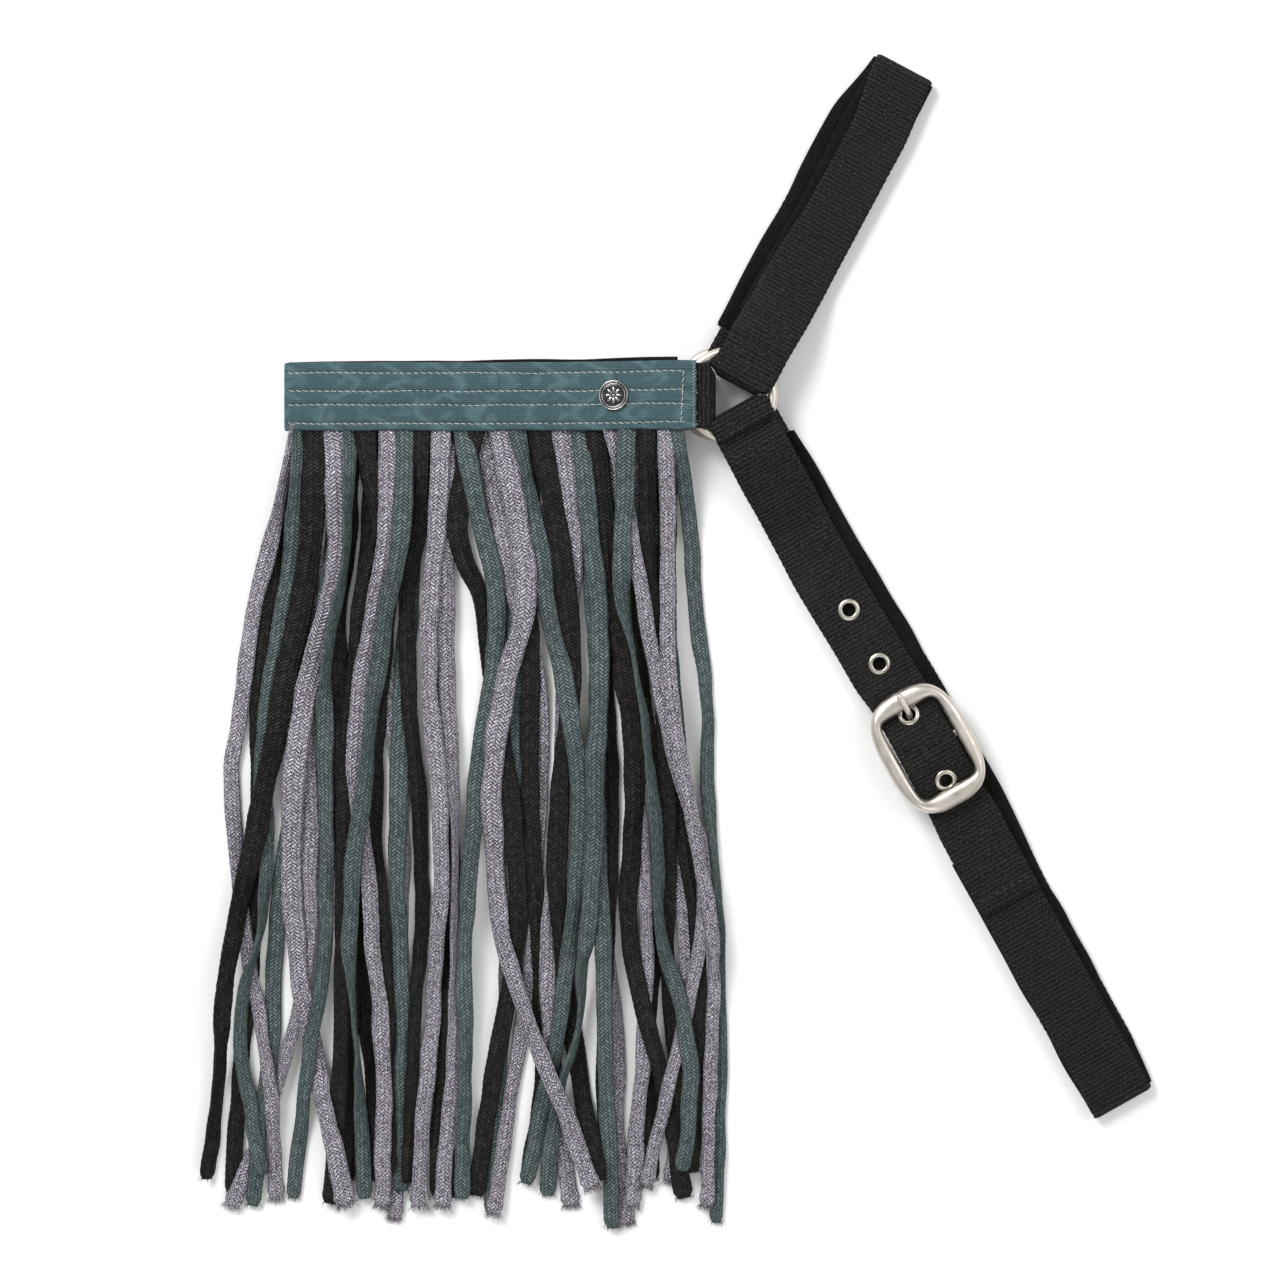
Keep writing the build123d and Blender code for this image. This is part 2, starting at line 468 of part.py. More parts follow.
INNER_STRANDS = [
    (1, [(-124, 61), (-123, 28), (-125, -7), (-128, -41), (-129, -76),
        (-130, -110), (-129, -145), (-127, -179), (-127, -214), (-128, -245)]),
    (2, [(-130, 61), (-128, 29), (-129, -5), (-131, -38), (-133, -72),
        (-132, -106), (-132, -139), (-134, -173), (-134, -207), (-133, -237)]),
    (2, [(-76, 61), (-77, 29), (-76, -5), (-74, -39), (-70, -73),
        (-68, -107), (-70, -141), (-73, -175), (-76, -208), (-79, -239)]),
    (3, [(-61, 61), (-59, 27), (-56, -10), (-54, -46), (-50, -82),
        (-48, -118), (-46, -155), (-46, -191), (-44, -227), (-43, -260)]),
    (2, [(-33, 61), (-32, 28), (-27, -6), (-24, -40), (-20, -74),
        (-17, -108), (-13, -142), (-13, -176), (-15, -210), (-19, -241)]),
    (0, [(-20, 61), (-19, 29), (-16, -4), (-13, -38), (-12, -71),
        (-10, -105), (-8, -138), (-8, -171), (-9, -205), (-11, -235)]),
]

for name, (level, points) in STRANDS.items():
    print(name)
    save(name, strand(level, points))

print("inner strands")
with BuildPart() as inner_strands:
    for level, points in INNER_STRANDS:
        add(strand(level, points).part)
save("inner_strands", inner_strands)
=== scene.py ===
"""Fly mask, folded in half and laid flat: fringed browband, poll strap and buckled throat strap on two rings.

Lengths are in metres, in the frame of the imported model: +X from the browband's fold to the rings, +Z up.
"""

import math
import random

import bmesh
import bpy
import numpy as np
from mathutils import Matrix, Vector


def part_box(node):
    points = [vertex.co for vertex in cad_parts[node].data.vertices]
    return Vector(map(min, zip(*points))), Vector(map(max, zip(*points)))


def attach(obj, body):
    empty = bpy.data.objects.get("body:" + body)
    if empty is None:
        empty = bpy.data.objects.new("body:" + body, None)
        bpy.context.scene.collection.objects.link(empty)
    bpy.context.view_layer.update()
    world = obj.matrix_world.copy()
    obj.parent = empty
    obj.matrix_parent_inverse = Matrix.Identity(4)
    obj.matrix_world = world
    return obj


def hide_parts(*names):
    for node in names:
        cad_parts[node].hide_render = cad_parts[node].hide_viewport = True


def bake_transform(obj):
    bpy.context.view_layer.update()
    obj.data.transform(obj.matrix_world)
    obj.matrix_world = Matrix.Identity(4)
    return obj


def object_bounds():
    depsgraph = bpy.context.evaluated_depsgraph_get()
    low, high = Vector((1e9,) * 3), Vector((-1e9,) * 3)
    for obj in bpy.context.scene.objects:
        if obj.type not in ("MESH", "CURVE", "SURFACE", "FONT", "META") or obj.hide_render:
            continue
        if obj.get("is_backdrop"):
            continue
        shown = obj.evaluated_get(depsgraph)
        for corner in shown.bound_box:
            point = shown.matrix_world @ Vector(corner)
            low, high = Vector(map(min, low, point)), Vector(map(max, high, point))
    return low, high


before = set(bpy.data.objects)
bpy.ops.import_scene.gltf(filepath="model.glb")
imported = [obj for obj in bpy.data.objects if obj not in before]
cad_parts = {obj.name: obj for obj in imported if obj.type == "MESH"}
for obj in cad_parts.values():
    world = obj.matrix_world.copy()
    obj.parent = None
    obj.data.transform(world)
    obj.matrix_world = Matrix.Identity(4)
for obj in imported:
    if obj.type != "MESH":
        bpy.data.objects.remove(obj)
CAD_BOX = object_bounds()
MM = 0.001

ring_low, ring_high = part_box("ring_front")
RING = (ring_low + ring_high) / 2
BACK_RING = sum(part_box("ring_back"), Vector()) / 2
BAND_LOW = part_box("browband_cover")[0]
POLL_ANGLE = math.radians(62.0)
THROAT_ANGLE = math.radians(-60.6)
BAND_ANGLE = math.pi


# ---- camera, floor and light -------------------------------------------------------------------------
def stage():
    scene = bpy.context.scene
    camera_data = bpy.data.cameras.new("camera")
    camera = bpy.data.objects.new("camera", camera_data)
    scene.collection.objects.link(camera)
    view_width = 0.5184
    camera_data.sensor_width = 36.0
    camera_data.lens = 100.0
    camera_data.clip_start = 0.05
    distance = view_width * camera_data.lens / camera_data.sensor_width
    camera.location = (-0.0318, -0.0223, distance)
    scene.camera = camera

    floor_mesh = bpy.data.meshes.new("floor")
    reach = 6.0
    corners = [(-reach, -reach, 0), (reach, -reach, 0), (reach, reach, 0), (-reach, reach, 0)]
    floor_mesh.from_pydata(corners, [], [(0, 1, 2, 3)])
    floor = bpy.data.objects.new("floor", floor_mesh)
    floor.location.z = -0.2 * MM
    scene.collection.objects.link(floor)
    paper = bpy.data.materials.new("paper")
    paper.use_nodes = True
    shader = paper.node_tree.nodes["Principled BSDF"]
    shader.inputs["Base Color"].default_value = (0.9, 0.9, 0.9, 1)
    shader.inputs["Roughness"].default_value = 0.9
    shader.inputs["Specular IOR Level"].default_value = 0.1
    floor_mesh.materials.append(paper)
    floor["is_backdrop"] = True

    world = bpy.data.worlds.new("studio")
    world.use_nodes = True
    world.node_tree.nodes["Background"].inputs["Color"].default_value = (1, 1, 1, 1)
    world.node_tree.nodes["Background"].inputs["Strength"].default_value = 0.5
    scene.world = world
    lamps = (("key", (-0.9, 1.0, 1.3), 0.8, 30.0), ("fill", (1.2, 0.5, 1.3), 1.2, 9.0),
             ("front", (0.1, -1.3, 1.2), 1.2, 6.0))
    for name, place, size, power in lamps:
        light = bpy.data.lights.new(name, "AREA")
        light.size = size
        light.energy = power
        lamp = bpy.data.objects.new(name, light)
        lamp.location = place
        aim = Vector((-0.02, -0.03, 0)) - Vector(place)
        lamp.rotation_euler = aim.to_track_quat("-Z", "Y").to_euler()
        scene.collection.objects.link(lamp)
    scene.view_settings.view_transform = "Standard"
    scene.view_settings.look = "None"


stage()


# ---- mesh helpers ------------------------------------------------------------------------------------
def smoothstep(x, low, high):
    t = np.clip((np.asarray(x, float) - low) / (high - low), 0, 1)
    return t * t * (3 - 2 * t)


def new_object(name, mesh):
    piece = bpy.data.objects.new(name, mesh)
    bpy.context.scene.collection.objects.link(piece)
    return piece


def loft(name, rings, around, lengthwise, extra=None):
    """A closed tube through rings (count, corners, 3). around and lengthwise are the UV sizes in metres.

    extra is (vertices, faces) of loose fibres that go into the same mesh.
    """
    count, corners = rings.shape[:2]
    i = np.arange(count - 1)[:, None]
    j = np.arange(corners)[None, :]
    k = (j + 1) % corners
    quads = np.stack([i * corners + j, i * corners + k, (i + 1) * corners + k, (i + 1) * corners + j], -1)
    faces = quads.reshape(-1, 4).tolist()
    sides = np.stack([around[:-1], around[1:], around[1:], around[:-1]], -1)
    u = np.broadcast_to(sides, (count - 1, corners, 4))
    ends = np.stack([lengthwise[:-1], lengthwise[:-1], lengthwise[1:], lengthwise[1:]], -1)
    v = np.broadcast_to(ends[:, None, :], (count - 1, corners, 4))
    uv = np.stack([u.reshape(-1), v.reshape(-1)], -1)
    verts = rings.reshape(-1, 3)
    first = list(range(corners))[::-1]
    last = list(range((count - 1) * corners, count * corners))
    faces += [first, last]
    cap_uv = np.stack([np.tile(around[:-1], 2), np.repeat([lengthwise[0], lengthwise[-1]], corners)], -1)
    uv = np.concatenate([uv, cap_uv])
    if extra is not None:
        fibre_verts, fibre_faces = extra
        base = len(verts)
        verts = np.concatenate([verts, fibre_verts])
        faces += (np.asarray(fibre_faces) + base).tolist()
        uv = np.concatenate([uv, np.full((4 * len(fibre_faces), 2), (0.0, lengthwise[-1]))])
    mesh = bpy.data.meshes.new(name)
    mesh.from_pydata(verts.tolist(), [], faces)
    layer = mesh.uv_layers.new(name="cloth")
    layer.data.foreach_set("uv", uv.astype(np.float32).ravel())
    mesh.polygons.foreach_set("use_smooth", np.ones(len(mesh.polygons), bool))
    mesh.update()
    return new_object(name, mesh)


def spline_points(name, points, resolution=24):
    """Points along the NURBS spline that has the given control points."""
    curve = bpy.data.curves.new(name, "CURVE")
    curve.dimensions = "3D"
    curve.resolution_u = resolution
    spline = curve.splines.new("NURBS")
    spline.points.add(len(points) - 1)
    for point, place in zip(spline.points, points):
        point.co = (*place, 1)
    spline.order_u = 3
    spline.use_endpoint_u = True
    line = bpy.data.objects.new(name, curve)
    mesh = bpy.data.meshes.new_from_object(line)
    found = np.array([v.co for v in mesh.vertices])
    bpy.data.objects.remove(line)
    bpy.data.curves.remove(curve)
    bpy.data.meshes.remove(mesh)
    return found


def even(points, step):
    """The same line with its points evenly spaced."""
    gaps = np.linalg.norm(np.diff(points, axis=0), axis=1)
    reach = np.concatenate([[0], np.cumsum(gaps)])
    count = int(round(reach[-1] / step)) + 1
    places = np.linspace(0, reach[-1], count)
    return np.stack([np.interp(places, reach, points[:, c]) for c in range(3)], -1), places


def frames(points):
    """Tangent, sideways and upward unit vectors along a line."""
    tangent = np.gradient(points, axis=0)
    tangent /= np.linalg.norm(tangent, axis=1, keepdims=True)
    side = np.cross(tangent, (0, 0, 1))
    side /= np.linalg.norm(side, axis=1, keepdims=True)
    return tangent, side, np.cross(side, tangent)


def wander(random_source, places, wavelength, octaves=2):
    """A smooth random curve between about -1 and 1."""
    total = np.zeros(len(places))
    for octave in range(octaves):
        length = wavelength / 2**octave
        for _ in range(3):
            stretch = random_source.uniform(0.7, 1.4)
            phase = random_source.uniform(0, 2 * math.pi)
            total += np.sin(2 * math.pi * places / (length * stretch) + phase) / 2**octave
    return total / (3 * (2 - 0.5**(octaves - 1)) * 0.62)


def smooth_line(values, width):
    """A moving average that keeps the ends."""
    kernel = np.ones(width) / width
    padded = np.concatenate([np.full(width, values[0]), values, np.full(width, values[-1])])
    return np.convolve(padded, kernel, "same")[width:-width]


# ---- fringe ------------------------------------------------------------------------------------------
# Routes run from the seam to the cut end. They follow the strands of the CAD model, and some were moved a few
# millimetres towards the photograph.
ROUTES = {
    "strand_01_grey": [
        (-0.170, 0.061), (-0.177, 0.028), (-0.188, -0.007), (-0.192, -0.042), (-0.198, -0.077),
        (-0.195, -0.112), (-0.191, -0.147), (-0.184, -0.182), (-0.179, -0.217), (-0.179, -0.248)],
    "strand_02_teal": [
        (-0.169, 0.061), (-0.170, 0.029), (-0.175, -0.004), (-0.181, -0.038), (-0.185, -0.072),
        (-0.182, -0.106), (-0.184, -0.140), (-0.195, -0.174), (-0.190, -0.208), (-0.184, -0.238)],
    "strand_03_black": [
        (-0.164, 0.061), (-0.162, 0.029), (-0.168, -0.005), (-0.175, -0.039), (-0.181, -0.073),
        (-0.188, -0.107), (-0.196, -0.141), (-0.200, -0.175), (-0.202, -0.209), (-0.207, -0.240)],
    "strand_04_grey": [
        (-0.156, 0.061), (-0.152, 0.028), (-0.156, -0.008), (-0.167, -0.043), (-0.172, -0.078),
        (-0.173, -0.113), (-0.171, -0.148), (-0.165, -0.183), (-0.157, -0.218), (-0.150, -0.250)],
    "strand_05_teal": [
        (-0.149, 0.061), (-0.1485, 0.042), (-0.149, 0.028), (-0.1505, 0.009), (-0.153, -0.007),
        (-0.157, -0.022), (-0.159, -0.045), (-0.159, -0.077), (-0.158, -0.112), (-0.158, -0.147),
        (-0.164, -0.182), (-0.169, -0.217), (-0.172, -0.248)],
    "strand_06_black": [
        (-0.143, 0.061), (-0.142, 0.046), (-0.1355, 0.030), (-0.138, 0.015), (-0.144, -0.006),
        (-0.147, -0.043), (-0.150, -0.078), (-0.150, -0.113), (-0.152, -0.148), (-0.152, -0.183),
        (-0.154, -0.218), (-0.157, -0.250)],
    "strand_07_grey": [
        (-0.134, 0.061), (-0.132, 0.027), (-0.138, -0.008), (-0.145, -0.043), (-0.147, -0.078),
        (-0.141, -0.114), (-0.139, -0.149), (-0.135, -0.184), (-0.135, -0.219), (-0.136, -0.251)],
    "strand_08_teal": [
        (-0.127, 0.061), (-0.126, 0.028), (-0.133, -0.007), (-0.139, -0.042), (-0.142, -0.077),
        (-0.147, -0.112), (-0.149, -0.147), (-0.146, -0.182), (-0.144, -0.217), (-0.143, -0.248)],
    "strand_09_black": [
        (-0.120, 0.061), (-0.120, 0.028), (-0.1245, 0.009), (-0.126, -0.006), (-0.126, -0.040),
        (-0.122, -0.074), (-0.120, -0.108), (-0.120, -0.142), (-0.123, -0.176), (-0.124, -0.210),
        (-0.126, -0.241)],
    "strand_10_grey": [
        (-0.112, 0.061), (-0.113, 0.027), (-0.117, -0.008), (-0.117, -0.043), (-0.113, -0.078),
        (-0.111, -0.113), (-0.114, -0.149), (-0.116, -0.184), (-0.120, -0.219), (-0.121, -0.251)],
    "strand_11_teal": [
        (-0.104, 0.061), (-0.097, 0.028), (-0.088, -0.007), (-0.092, -0.042), (-0.098, -0.077),
        (-0.100, -0.112), (-0.103, -0.147), (-0.102, -0.182), (-0.103, -0.217), (-0.104, -0.248)],
    "strand_12_black": [
        (-0.098, 0.061), (-0.107, 0.030), (-0.103, 0.010), (-0.095, -0.007), (-0.090, -0.042),
        (-0.086, -0.076), (-0.081, -0.111), (-0.081, -0.146), (-0.088, -0.181), (-0.094, -0.215),
        (-0.098, -0.247)],
    "strand_13_grey": [
        (-0.089, 0.061), (-0.081, 0.028), (-0.076, -0.006), (-0.0865, -0.040), (-0.092, -0.075),
        (-0.091, -0.109), (-0.088, -0.143), (-0.077, -0.177), (-0.062, -0.212), (-0.051, -0.243)],
    "strand_14_teal": [
        (-0.082, 0.061), (-0.074, 0.028), (-0.070, -0.006), (-0.062, -0.040), (-0.056, -0.074),
        (-0.056, -0.108), (-0.060, -0.143), (-0.064, -0.177), (-0.071, -0.211), (-0.078, -0.242)],
    "strand_15_black": [
        (-0.073, 0.061), (-0.066, 0.029), (-0.061, -0.005), (-0.059, -0.039), (-0.063, -0.073),
        (-0.066, -0.107), (-0.064, -0.141), (-0.060, -0.175), (-0.055, -0.209), (-0.048, -0.240)],
    "strand_16_grey": [
        (-0.064, 0.061), (-0.059, 0.035), (-0.0585, 0.009), (-0.0605, -0.015), (-0.062, -0.043),
        (-0.063, -0.078), (-0.066, -0.114), (-0.070, -0.149), (-0.068, -0.184), (-0.064, -0.219),
        (-0.060, -0.251)],
    "strand_17_teal": [
        (-0.056, 0.061), (-0.053, 0.028), (-0.048, -0.007), (-0.048, -0.042), (-0.050, -0.076),
        (-0.050, -0.111), (-0.054, -0.146), (-0.056, -0.181), (-0.068, -0.215), (-0.069, -0.247)],
    "strand_18_black": [
        (-0.050, 0.061), (-0.046, 0.028), (-0.044, -0.007), (-0.037, -0.042), (-0.033, -0.077),
        (-0.036, -0.112), (-0.037, -0.147), (-0.027, -0.182), (-0.019, -0.217), (-0.014, -0.248)],
    "strand_19_grey": [
        (-0.044, 0.061), (-0.036, 0.028), (-0.031, -0.006), (-0.024, -0.041), (-0.017, -0.075),
        (-0.005, -0.109), (-0.007, -0.144), (-0.014, -0.178), (-0.023, -0.212), (-0.029, -0.243)],
    "strand_20_teal": [
        (-0.037, 0.061), (-0.038, 0.029), (-0.040, -0.005), (-0.032, -0.038), (-0.028, -0.072),
        (-0.024, -0.105), (-0.025, -0.139), (-0.014, -0.172), (-0.010, -0.206), (-0.015, -0.236)],
    "strand_21_black": [
        (-0.029, 0.061), (-0.029, 0.029), (-0.027, -0.005), (-0.023, -0.039), (-0.021, -0.072),
        (-0.020, -0.106), (-0.021, -0.140), (-0.020, -0.173), (-0.015, -0.207), (-0.010, -0.237)],
    "strand_22_grey": [
        (-0.022, 0.061), (-0.020, 0.027), (-0.021, -0.008), (-0.020, -0.043), (-0.014, -0.078),
        (-0.007, -0.114), (-0.001, -0.149), (-0.003, -0.184), (-0.004, -0.219), (-0.005, -0.251)],
    "strand_23_teal": [
        (-0.018, 0.061), (-0.011, 0.027), (-0.010, -0.009), (-0.004, -0.045), (-0.005, -0.081),
        (-0.001, -0.117), (0.000, -0.153), (0.001, -0.190), (0.000, -0.226), (-0.001, -0.258)],
    "strand_24_black": [
        (-0.168, 0.061), (-0.175, 0.028), (-0.183, -0.007), (-0.186, -0.041), (-0.186, -0.076),
        (-0.185, -0.111), (-0.188, -0.145), (-0.192, -0.180), (-0.195, -0.215), (-0.197, -0.246)],
    "strand_25_grey": [
        (-0.162, 0.061), (-0.164, 0.027), (-0.165, -0.002), (-0.169, -0.022), (-0.167, -0.047),
        (-0.166, -0.079), (-0.165, -0.113), (-0.165, -0.149), (-0.173, -0.184), (-0.183, -0.219),
        (-0.197, -0.251)],
    "strand_26_teal": [
        (-0.156, 0.061), (-0.1545, 0.034), (-0.156, 0.009), (-0.1605, -0.018), (-0.168, -0.052),
        (-0.172, -0.090), (-0.177, -0.120), (-0.180, -0.149), (-0.180, -0.184), (-0.186, -0.219),
        (-0.188, -0.251)],
    "strand_27_black": [
        (-0.149, 0.061), (-0.149, 0.036), (-0.151, 0.009), (-0.1545, -0.013), (-0.1545, -0.032),
        (-0.1525, -0.059), (-0.152, -0.095), (-0.149, -0.142), (-0.148, -0.176), (-0.149, -0.210),
        (-0.149, -0.241)],
    "strand_28_grey": [
        (-0.140, 0.061), (-0.138, 0.035), (-0.137, 0.010), (-0.136, -0.018), (-0.133, -0.045),
        (-0.128, -0.086), (-0.126, -0.116), (-0.128, -0.152), (-0.128, -0.188), (-0.131, -0.224),
        (-0.131, -0.256)],
    "strand_29_black": [
        (-0.137, 0.061), (-0.141, 0.028), (-0.143, -0.006), (-0.143, -0.040), (-0.145, -0.074),
        (-0.144, -0.108), (-0.145, -0.142), (-0.143, -0.176), (-0.138, -0.210), (-0.140, -0.241)],
    "strand_30_black": [
        (-0.115, 0.061), (-0.113, 0.028), (-0.114, -0.007), (-0.114, -0.042), (-0.112, -0.077),
        (-0.111, -0.112), (-0.112, -0.146), (-0.111, -0.181), (-0.113, -0.216), (-0.114, -0.247)],
    "strand_31_grey": [
        (-0.110, 0.061), (-0.111, 0.027), (-0.110, -0.008), (-0.110, -0.043), (-0.107, -0.078),
        (-0.106, -0.114), (-0.107, -0.149), (-0.106, -0.184), (-0.109, -0.219), (-0.112, -0.251)],
    "strand_32_black": [
        (-0.106, 0.061), (-0.110, 0.022), (-0.112, -0.018), (-0.1105, -0.059), (-0.109, -0.095),
        (-0.107, -0.130), (-0.106, -0.165), (-0.106, -0.190), (-0.107, -0.219), (-0.108, -0.248)],
    "strand_33_grey": [
        (-0.096, 0.061), (-0.089, 0.027), (-0.0825, -0.006), (-0.0735, -0.030), (-0.0715, -0.052),
        (-0.0725, -0.083), (-0.074, -0.115), (-0.075, -0.150), (-0.081, -0.186), (-0.086, -0.222),
        (-0.091, -0.254)],
    "strand_34_teal": [
        (-0.086, 0.061), (-0.084, 0.027), (-0.083, -0.009), (-0.082, -0.044), (-0.083, -0.080),
        (-0.084, -0.115), (-0.085, -0.151), (-0.088, -0.187), (-0.090, -0.222), (-0.092, -0.254)],
    "strand_35_grey": [
        (-0.069, 0.061), (-0.067, 0.027), (-0.065, -0.009), (-0.062, -0.045), (-0.056, -0.081),
        (-0.052, -0.117), (-0.043, -0.153), (-0.040, -0.189), (-0.042, -0.225), (-0.037, -0.258)],
    "strand_36_black": [
        (-0.053, 0.061), (-0.051, 0.028), (-0.049, -0.007), (-0.046, -0.042), (-0.044, -0.077),
        (-0.044, -0.112), (-0.045, -0.147), (-0.047, -0.182), (-0.046, -0.217), (-0.043, -0.248)],
    "strand_37_grey": [
        (-0.046, 0.061), (-0.044, 0.027), (-0.041, -0.008), (-0.036, -0.043), (-0.033, -0.078),
        (-0.030, -0.114), (-0.029, -0.149), (-0.030, -0.184), (-0.033, -0.219), (-0.035, -0.251)],
    "strand_38_black": [
        (-0.040, 0.061), (-0.038, 0.028), (-0.035, -0.006), (-0.030, -0.040), (-0.023, -0.074),
        (-0.021, -0.108), (-0.024, -0.142), (-0.028, -0.176), (-0.028, -0.210), (-0.027, -0.241)],
    "strand_39_teal": [
        (-0.027, 0.061), (-0.025, 0.030), (-0.021, -0.003), (-0.019, -0.036), (-0.016, -0.068),
        (-0.014, -0.101), (-0.010, -0.134), (-0.008, -0.167), (-0.009, -0.199), (-0.012, -0.229)],
}
INNER_ROUTES = {
    "inner_1_teal": [
        (-0.124, 0.061), (-0.123, 0.028), (-0.125, -0.007), (-0.128, -0.041), (-0.129, -0.076),
        (-0.130, -0.110), (-0.129, -0.145), (-0.127, -0.179), (-0.127, -0.214), (-0.128, -0.245)],
    "inner_2_black": [
        (-0.128, 0.061), (-0.128, 0.034), (-0.130, 0.018), (-0.135, -0.018), (-0.138, -0.052),
        (-0.140, -0.086), (-0.138, -0.120), (-0.134, -0.152), (-0.134, -0.180), (-0.134, -0.207),
        (-0.133, -0.237)],
    "inner_3_black": [
        (-0.076, 0.061), (-0.076, 0.029), (-0.0765, -0.005), (-0.076, -0.030), (-0.0765, -0.059),
        (-0.076, -0.095), (-0.073, -0.141), (-0.071, -0.175), (-0.071, -0.208), (-0.077, -0.239)],
    "inner_4_teal": [
        (-0.059, 0.061), (-0.054, 0.029), (-0.0505, -0.005), (-0.0485, -0.032), (-0.049, -0.059),
        (-0.050, -0.082), (-0.048, -0.118), (-0.046, -0.155), (-0.046, -0.191), (-0.044, -0.227),
        (-0.043, -0.260)],
    "inner_5_grey": [
        (-0.033, 0.061), (-0.032, 0.028), (-0.027, -0.006), (-0.024, -0.040), (-0.020, -0.074),
        (-0.017, -0.108), (-0.013, -0.142), (-0.013, -0.176), (-0.015, -0.210), (-0.019, -0.241)],
    "inner_6_black": [
        (-0.0215, 0.061), (-0.0205, 0.029), (-0.021, -0.004), (-0.022, -0.030), (-0.0195, -0.063),
        (-0.015, -0.095), (-0.010, -0.128), (-0.008, -0.150), (-0.008, -0.171), (-0.009, -0.205),
        (-0.011, -0.235)],
}
STRAND_WIDTH = 7.8 * MM
STRAND_THICK = 2.2 * MM
STITCH = 1.5 * MM
BRAID_COLUMNS = 12
SEAM_Y = BAND_LOW.y + 2.6 * MM
ORDER = {
    "back": [["24_black", "28_grey", "32_black", "34_teal", "35_grey", "38_black"],
             ["25_grey", "29_black", "30_black", "33_grey", "37_grey", "39_teal"],
             ["26_teal", "27_black", "31_grey", "36_black"]],
    "front": [["01_grey", "06_black", "09_black", "12_black", "16_grey", "18_black", "21_black", "23_teal"],
              ["02_teal", "07_grey", "19_grey"],
              ["03_black", "15_black", "04_grey"],
              ["05_teal", "08_teal", "10_grey", "11_teal", "14_teal", "17_teal", "20_teal", "22_grey"],
              ["13_grey"]],
}
# how wide a strand is pressed, beside the usual width
WIDTHS = {
    "strand_01_grey": 0.86, "strand_02_teal": 0.92, "strand_03_black": 1.24, "strand_04_grey": 1.2,
    "strand_05_teal": 0.9, "strand_06_black": 1.1, "strand_09_black": 0.86, "strand_10_grey": 1.0,
    "strand_12_black": 1.12, "strand_13_grey": 1.12, "strand_15_black": 1.14, "strand_16_grey": 1.0,
    "strand_18_black": 1.1, "strand_19_grey": 0.82, "strand_21_black": 0.94, "strand_22_grey": 0.84,
    "strand_23_teal": 0.82, "strand_28_grey": 0.9, "strand_33_grey": 0.9, "strand_34_teal": 0.9,
    "strand_39_teal": 0.85,
}
# where a strand stands partly on its edge: distance from the seam and reach in mm, turn in degrees
TURNS = {
    "strand_01_grey": [(22, 36, 55)], "strand_24_black": [(20, 40, 55)],
    "strand_02_teal": [(18, 22, 48), (215, 45, 62)], "strand_06_black": [(45, 16, 45)],
    "strand_05_teal": [(50, 62, 62)], "strand_19_grey": [(24, 20, 48)], "strand_14_teal": [(20, 14, 50)],
    "strand_03_black": [(250, 85, 64)], "strand_08_teal": [(120, 22, 42), (255, 50, 62)],
    "strand_11_teal": [(205, 22, -45)], "strand_13_grey": [(235, 20, -40)],
    "strand_18_black": [(165, 22, 45)], "strand_20_teal": [(95, 20, 40), (155, 60, 60)],
    "strand_21_black": [(60, 26, 48)], "strand_23_teal": [(115, 18, 55), (178, 25, 55)],
    "strand_22_grey": [(215, 26, -42)], "strand_16_grey": [(140, 24, 38)],
    "strand_28_grey": [(60, 22, 45), (200, 70, 60)], "strand_33_grey": [(90, 22, -45)],
    "strand_26_teal": [(85, 20, 45)], "strand_27_black": [(260, 60, 58)],
    "strand_07_grey": [(215, 60, 48)], "strand_25_grey": [(245, 45, -50)],
    "strand_31_grey": [(190, 60, 58)], "strand_29_black": [(180, 50, 55)],
    "strand_35_grey": [(230, 50, 52)], "strand_37_grey": [(150, 60, -52)],
    "strand_38_black": [(240, 45, 50)], "strand_17_teal": [(245, 45, 60)],
    "strand_12_black": [(72, 16, 48)], "strand_15_black": [(130, 24, -40)],
}
RAMP_START, RAMP_END = RING.x - 26 * MM, RING.x - 72 * MM
FRONT_SEAM_LOW, FRONT_SEAM_HIGH = 5.0 * MM, 15.0 * MM
BACK_SEAM_Z = 1.6 * MM


class Pile:
    """How high the strands laid so far reach, on a grid over the fringe."""
    step = 0.8 * MM

    def __init__(self, low, high):
        self.low = np.array(low)
        size = np.ceil((np.array(high) - self.low) / self.step).astype(int) + 1
        self.height = np.zeros(size)

    def cells(self, places):
        index = np.round((places - self.low) / self.step).astype(int)
        index[..., 0] = np.clip(index[..., 0], 0, self.height.shape[0] - 1)
        index[..., 1] = np.clip(index[..., 1], 0, self.height.shape[1] - 1)
        return index[..., 0], index[..., 1]

    def at(self, places):
        return self.height[self.cells(places)]

    def add(self, places, tops):
        i, j = self.cells(places)
        np.maximum.at(self.height, (i.ravel(), j.ravel()), tops.ravel())


pile = Pile((CAD_BOX[0][0] - 0.02, CAD_BOX[0][1] - 0.02), (0.08, 0.09))


def settle(support, places, start, slope=0.28, width=9):
    """The lowest line over the support that doesn't bend faster than the strand can."""
    reach = np.abs(places[:, None] - places[None, :]) * slope
    line = (support[None, :] - reach).max(axis=1)
    line = np.maximum(line, start - places * slope)
    line = np.maximum(smooth_line(line, width), line * 0.92)
    line = smooth_line(line, width)
    lift = smoothstep(places, 4 * MM, 22 * MM)
    return start * (1 - lift) + np.maximum(line, 0) * lift


def seam_height(x, row):
    if row == "back":
        return BACK_SEAM_Z
    rise = float(smoothstep(x, RAMP_END, RAMP_START))
    return FRONT_SEAM_LOW + (FRONT_SEAM_HIGH - FRONT_SEAM_LOW) * rise


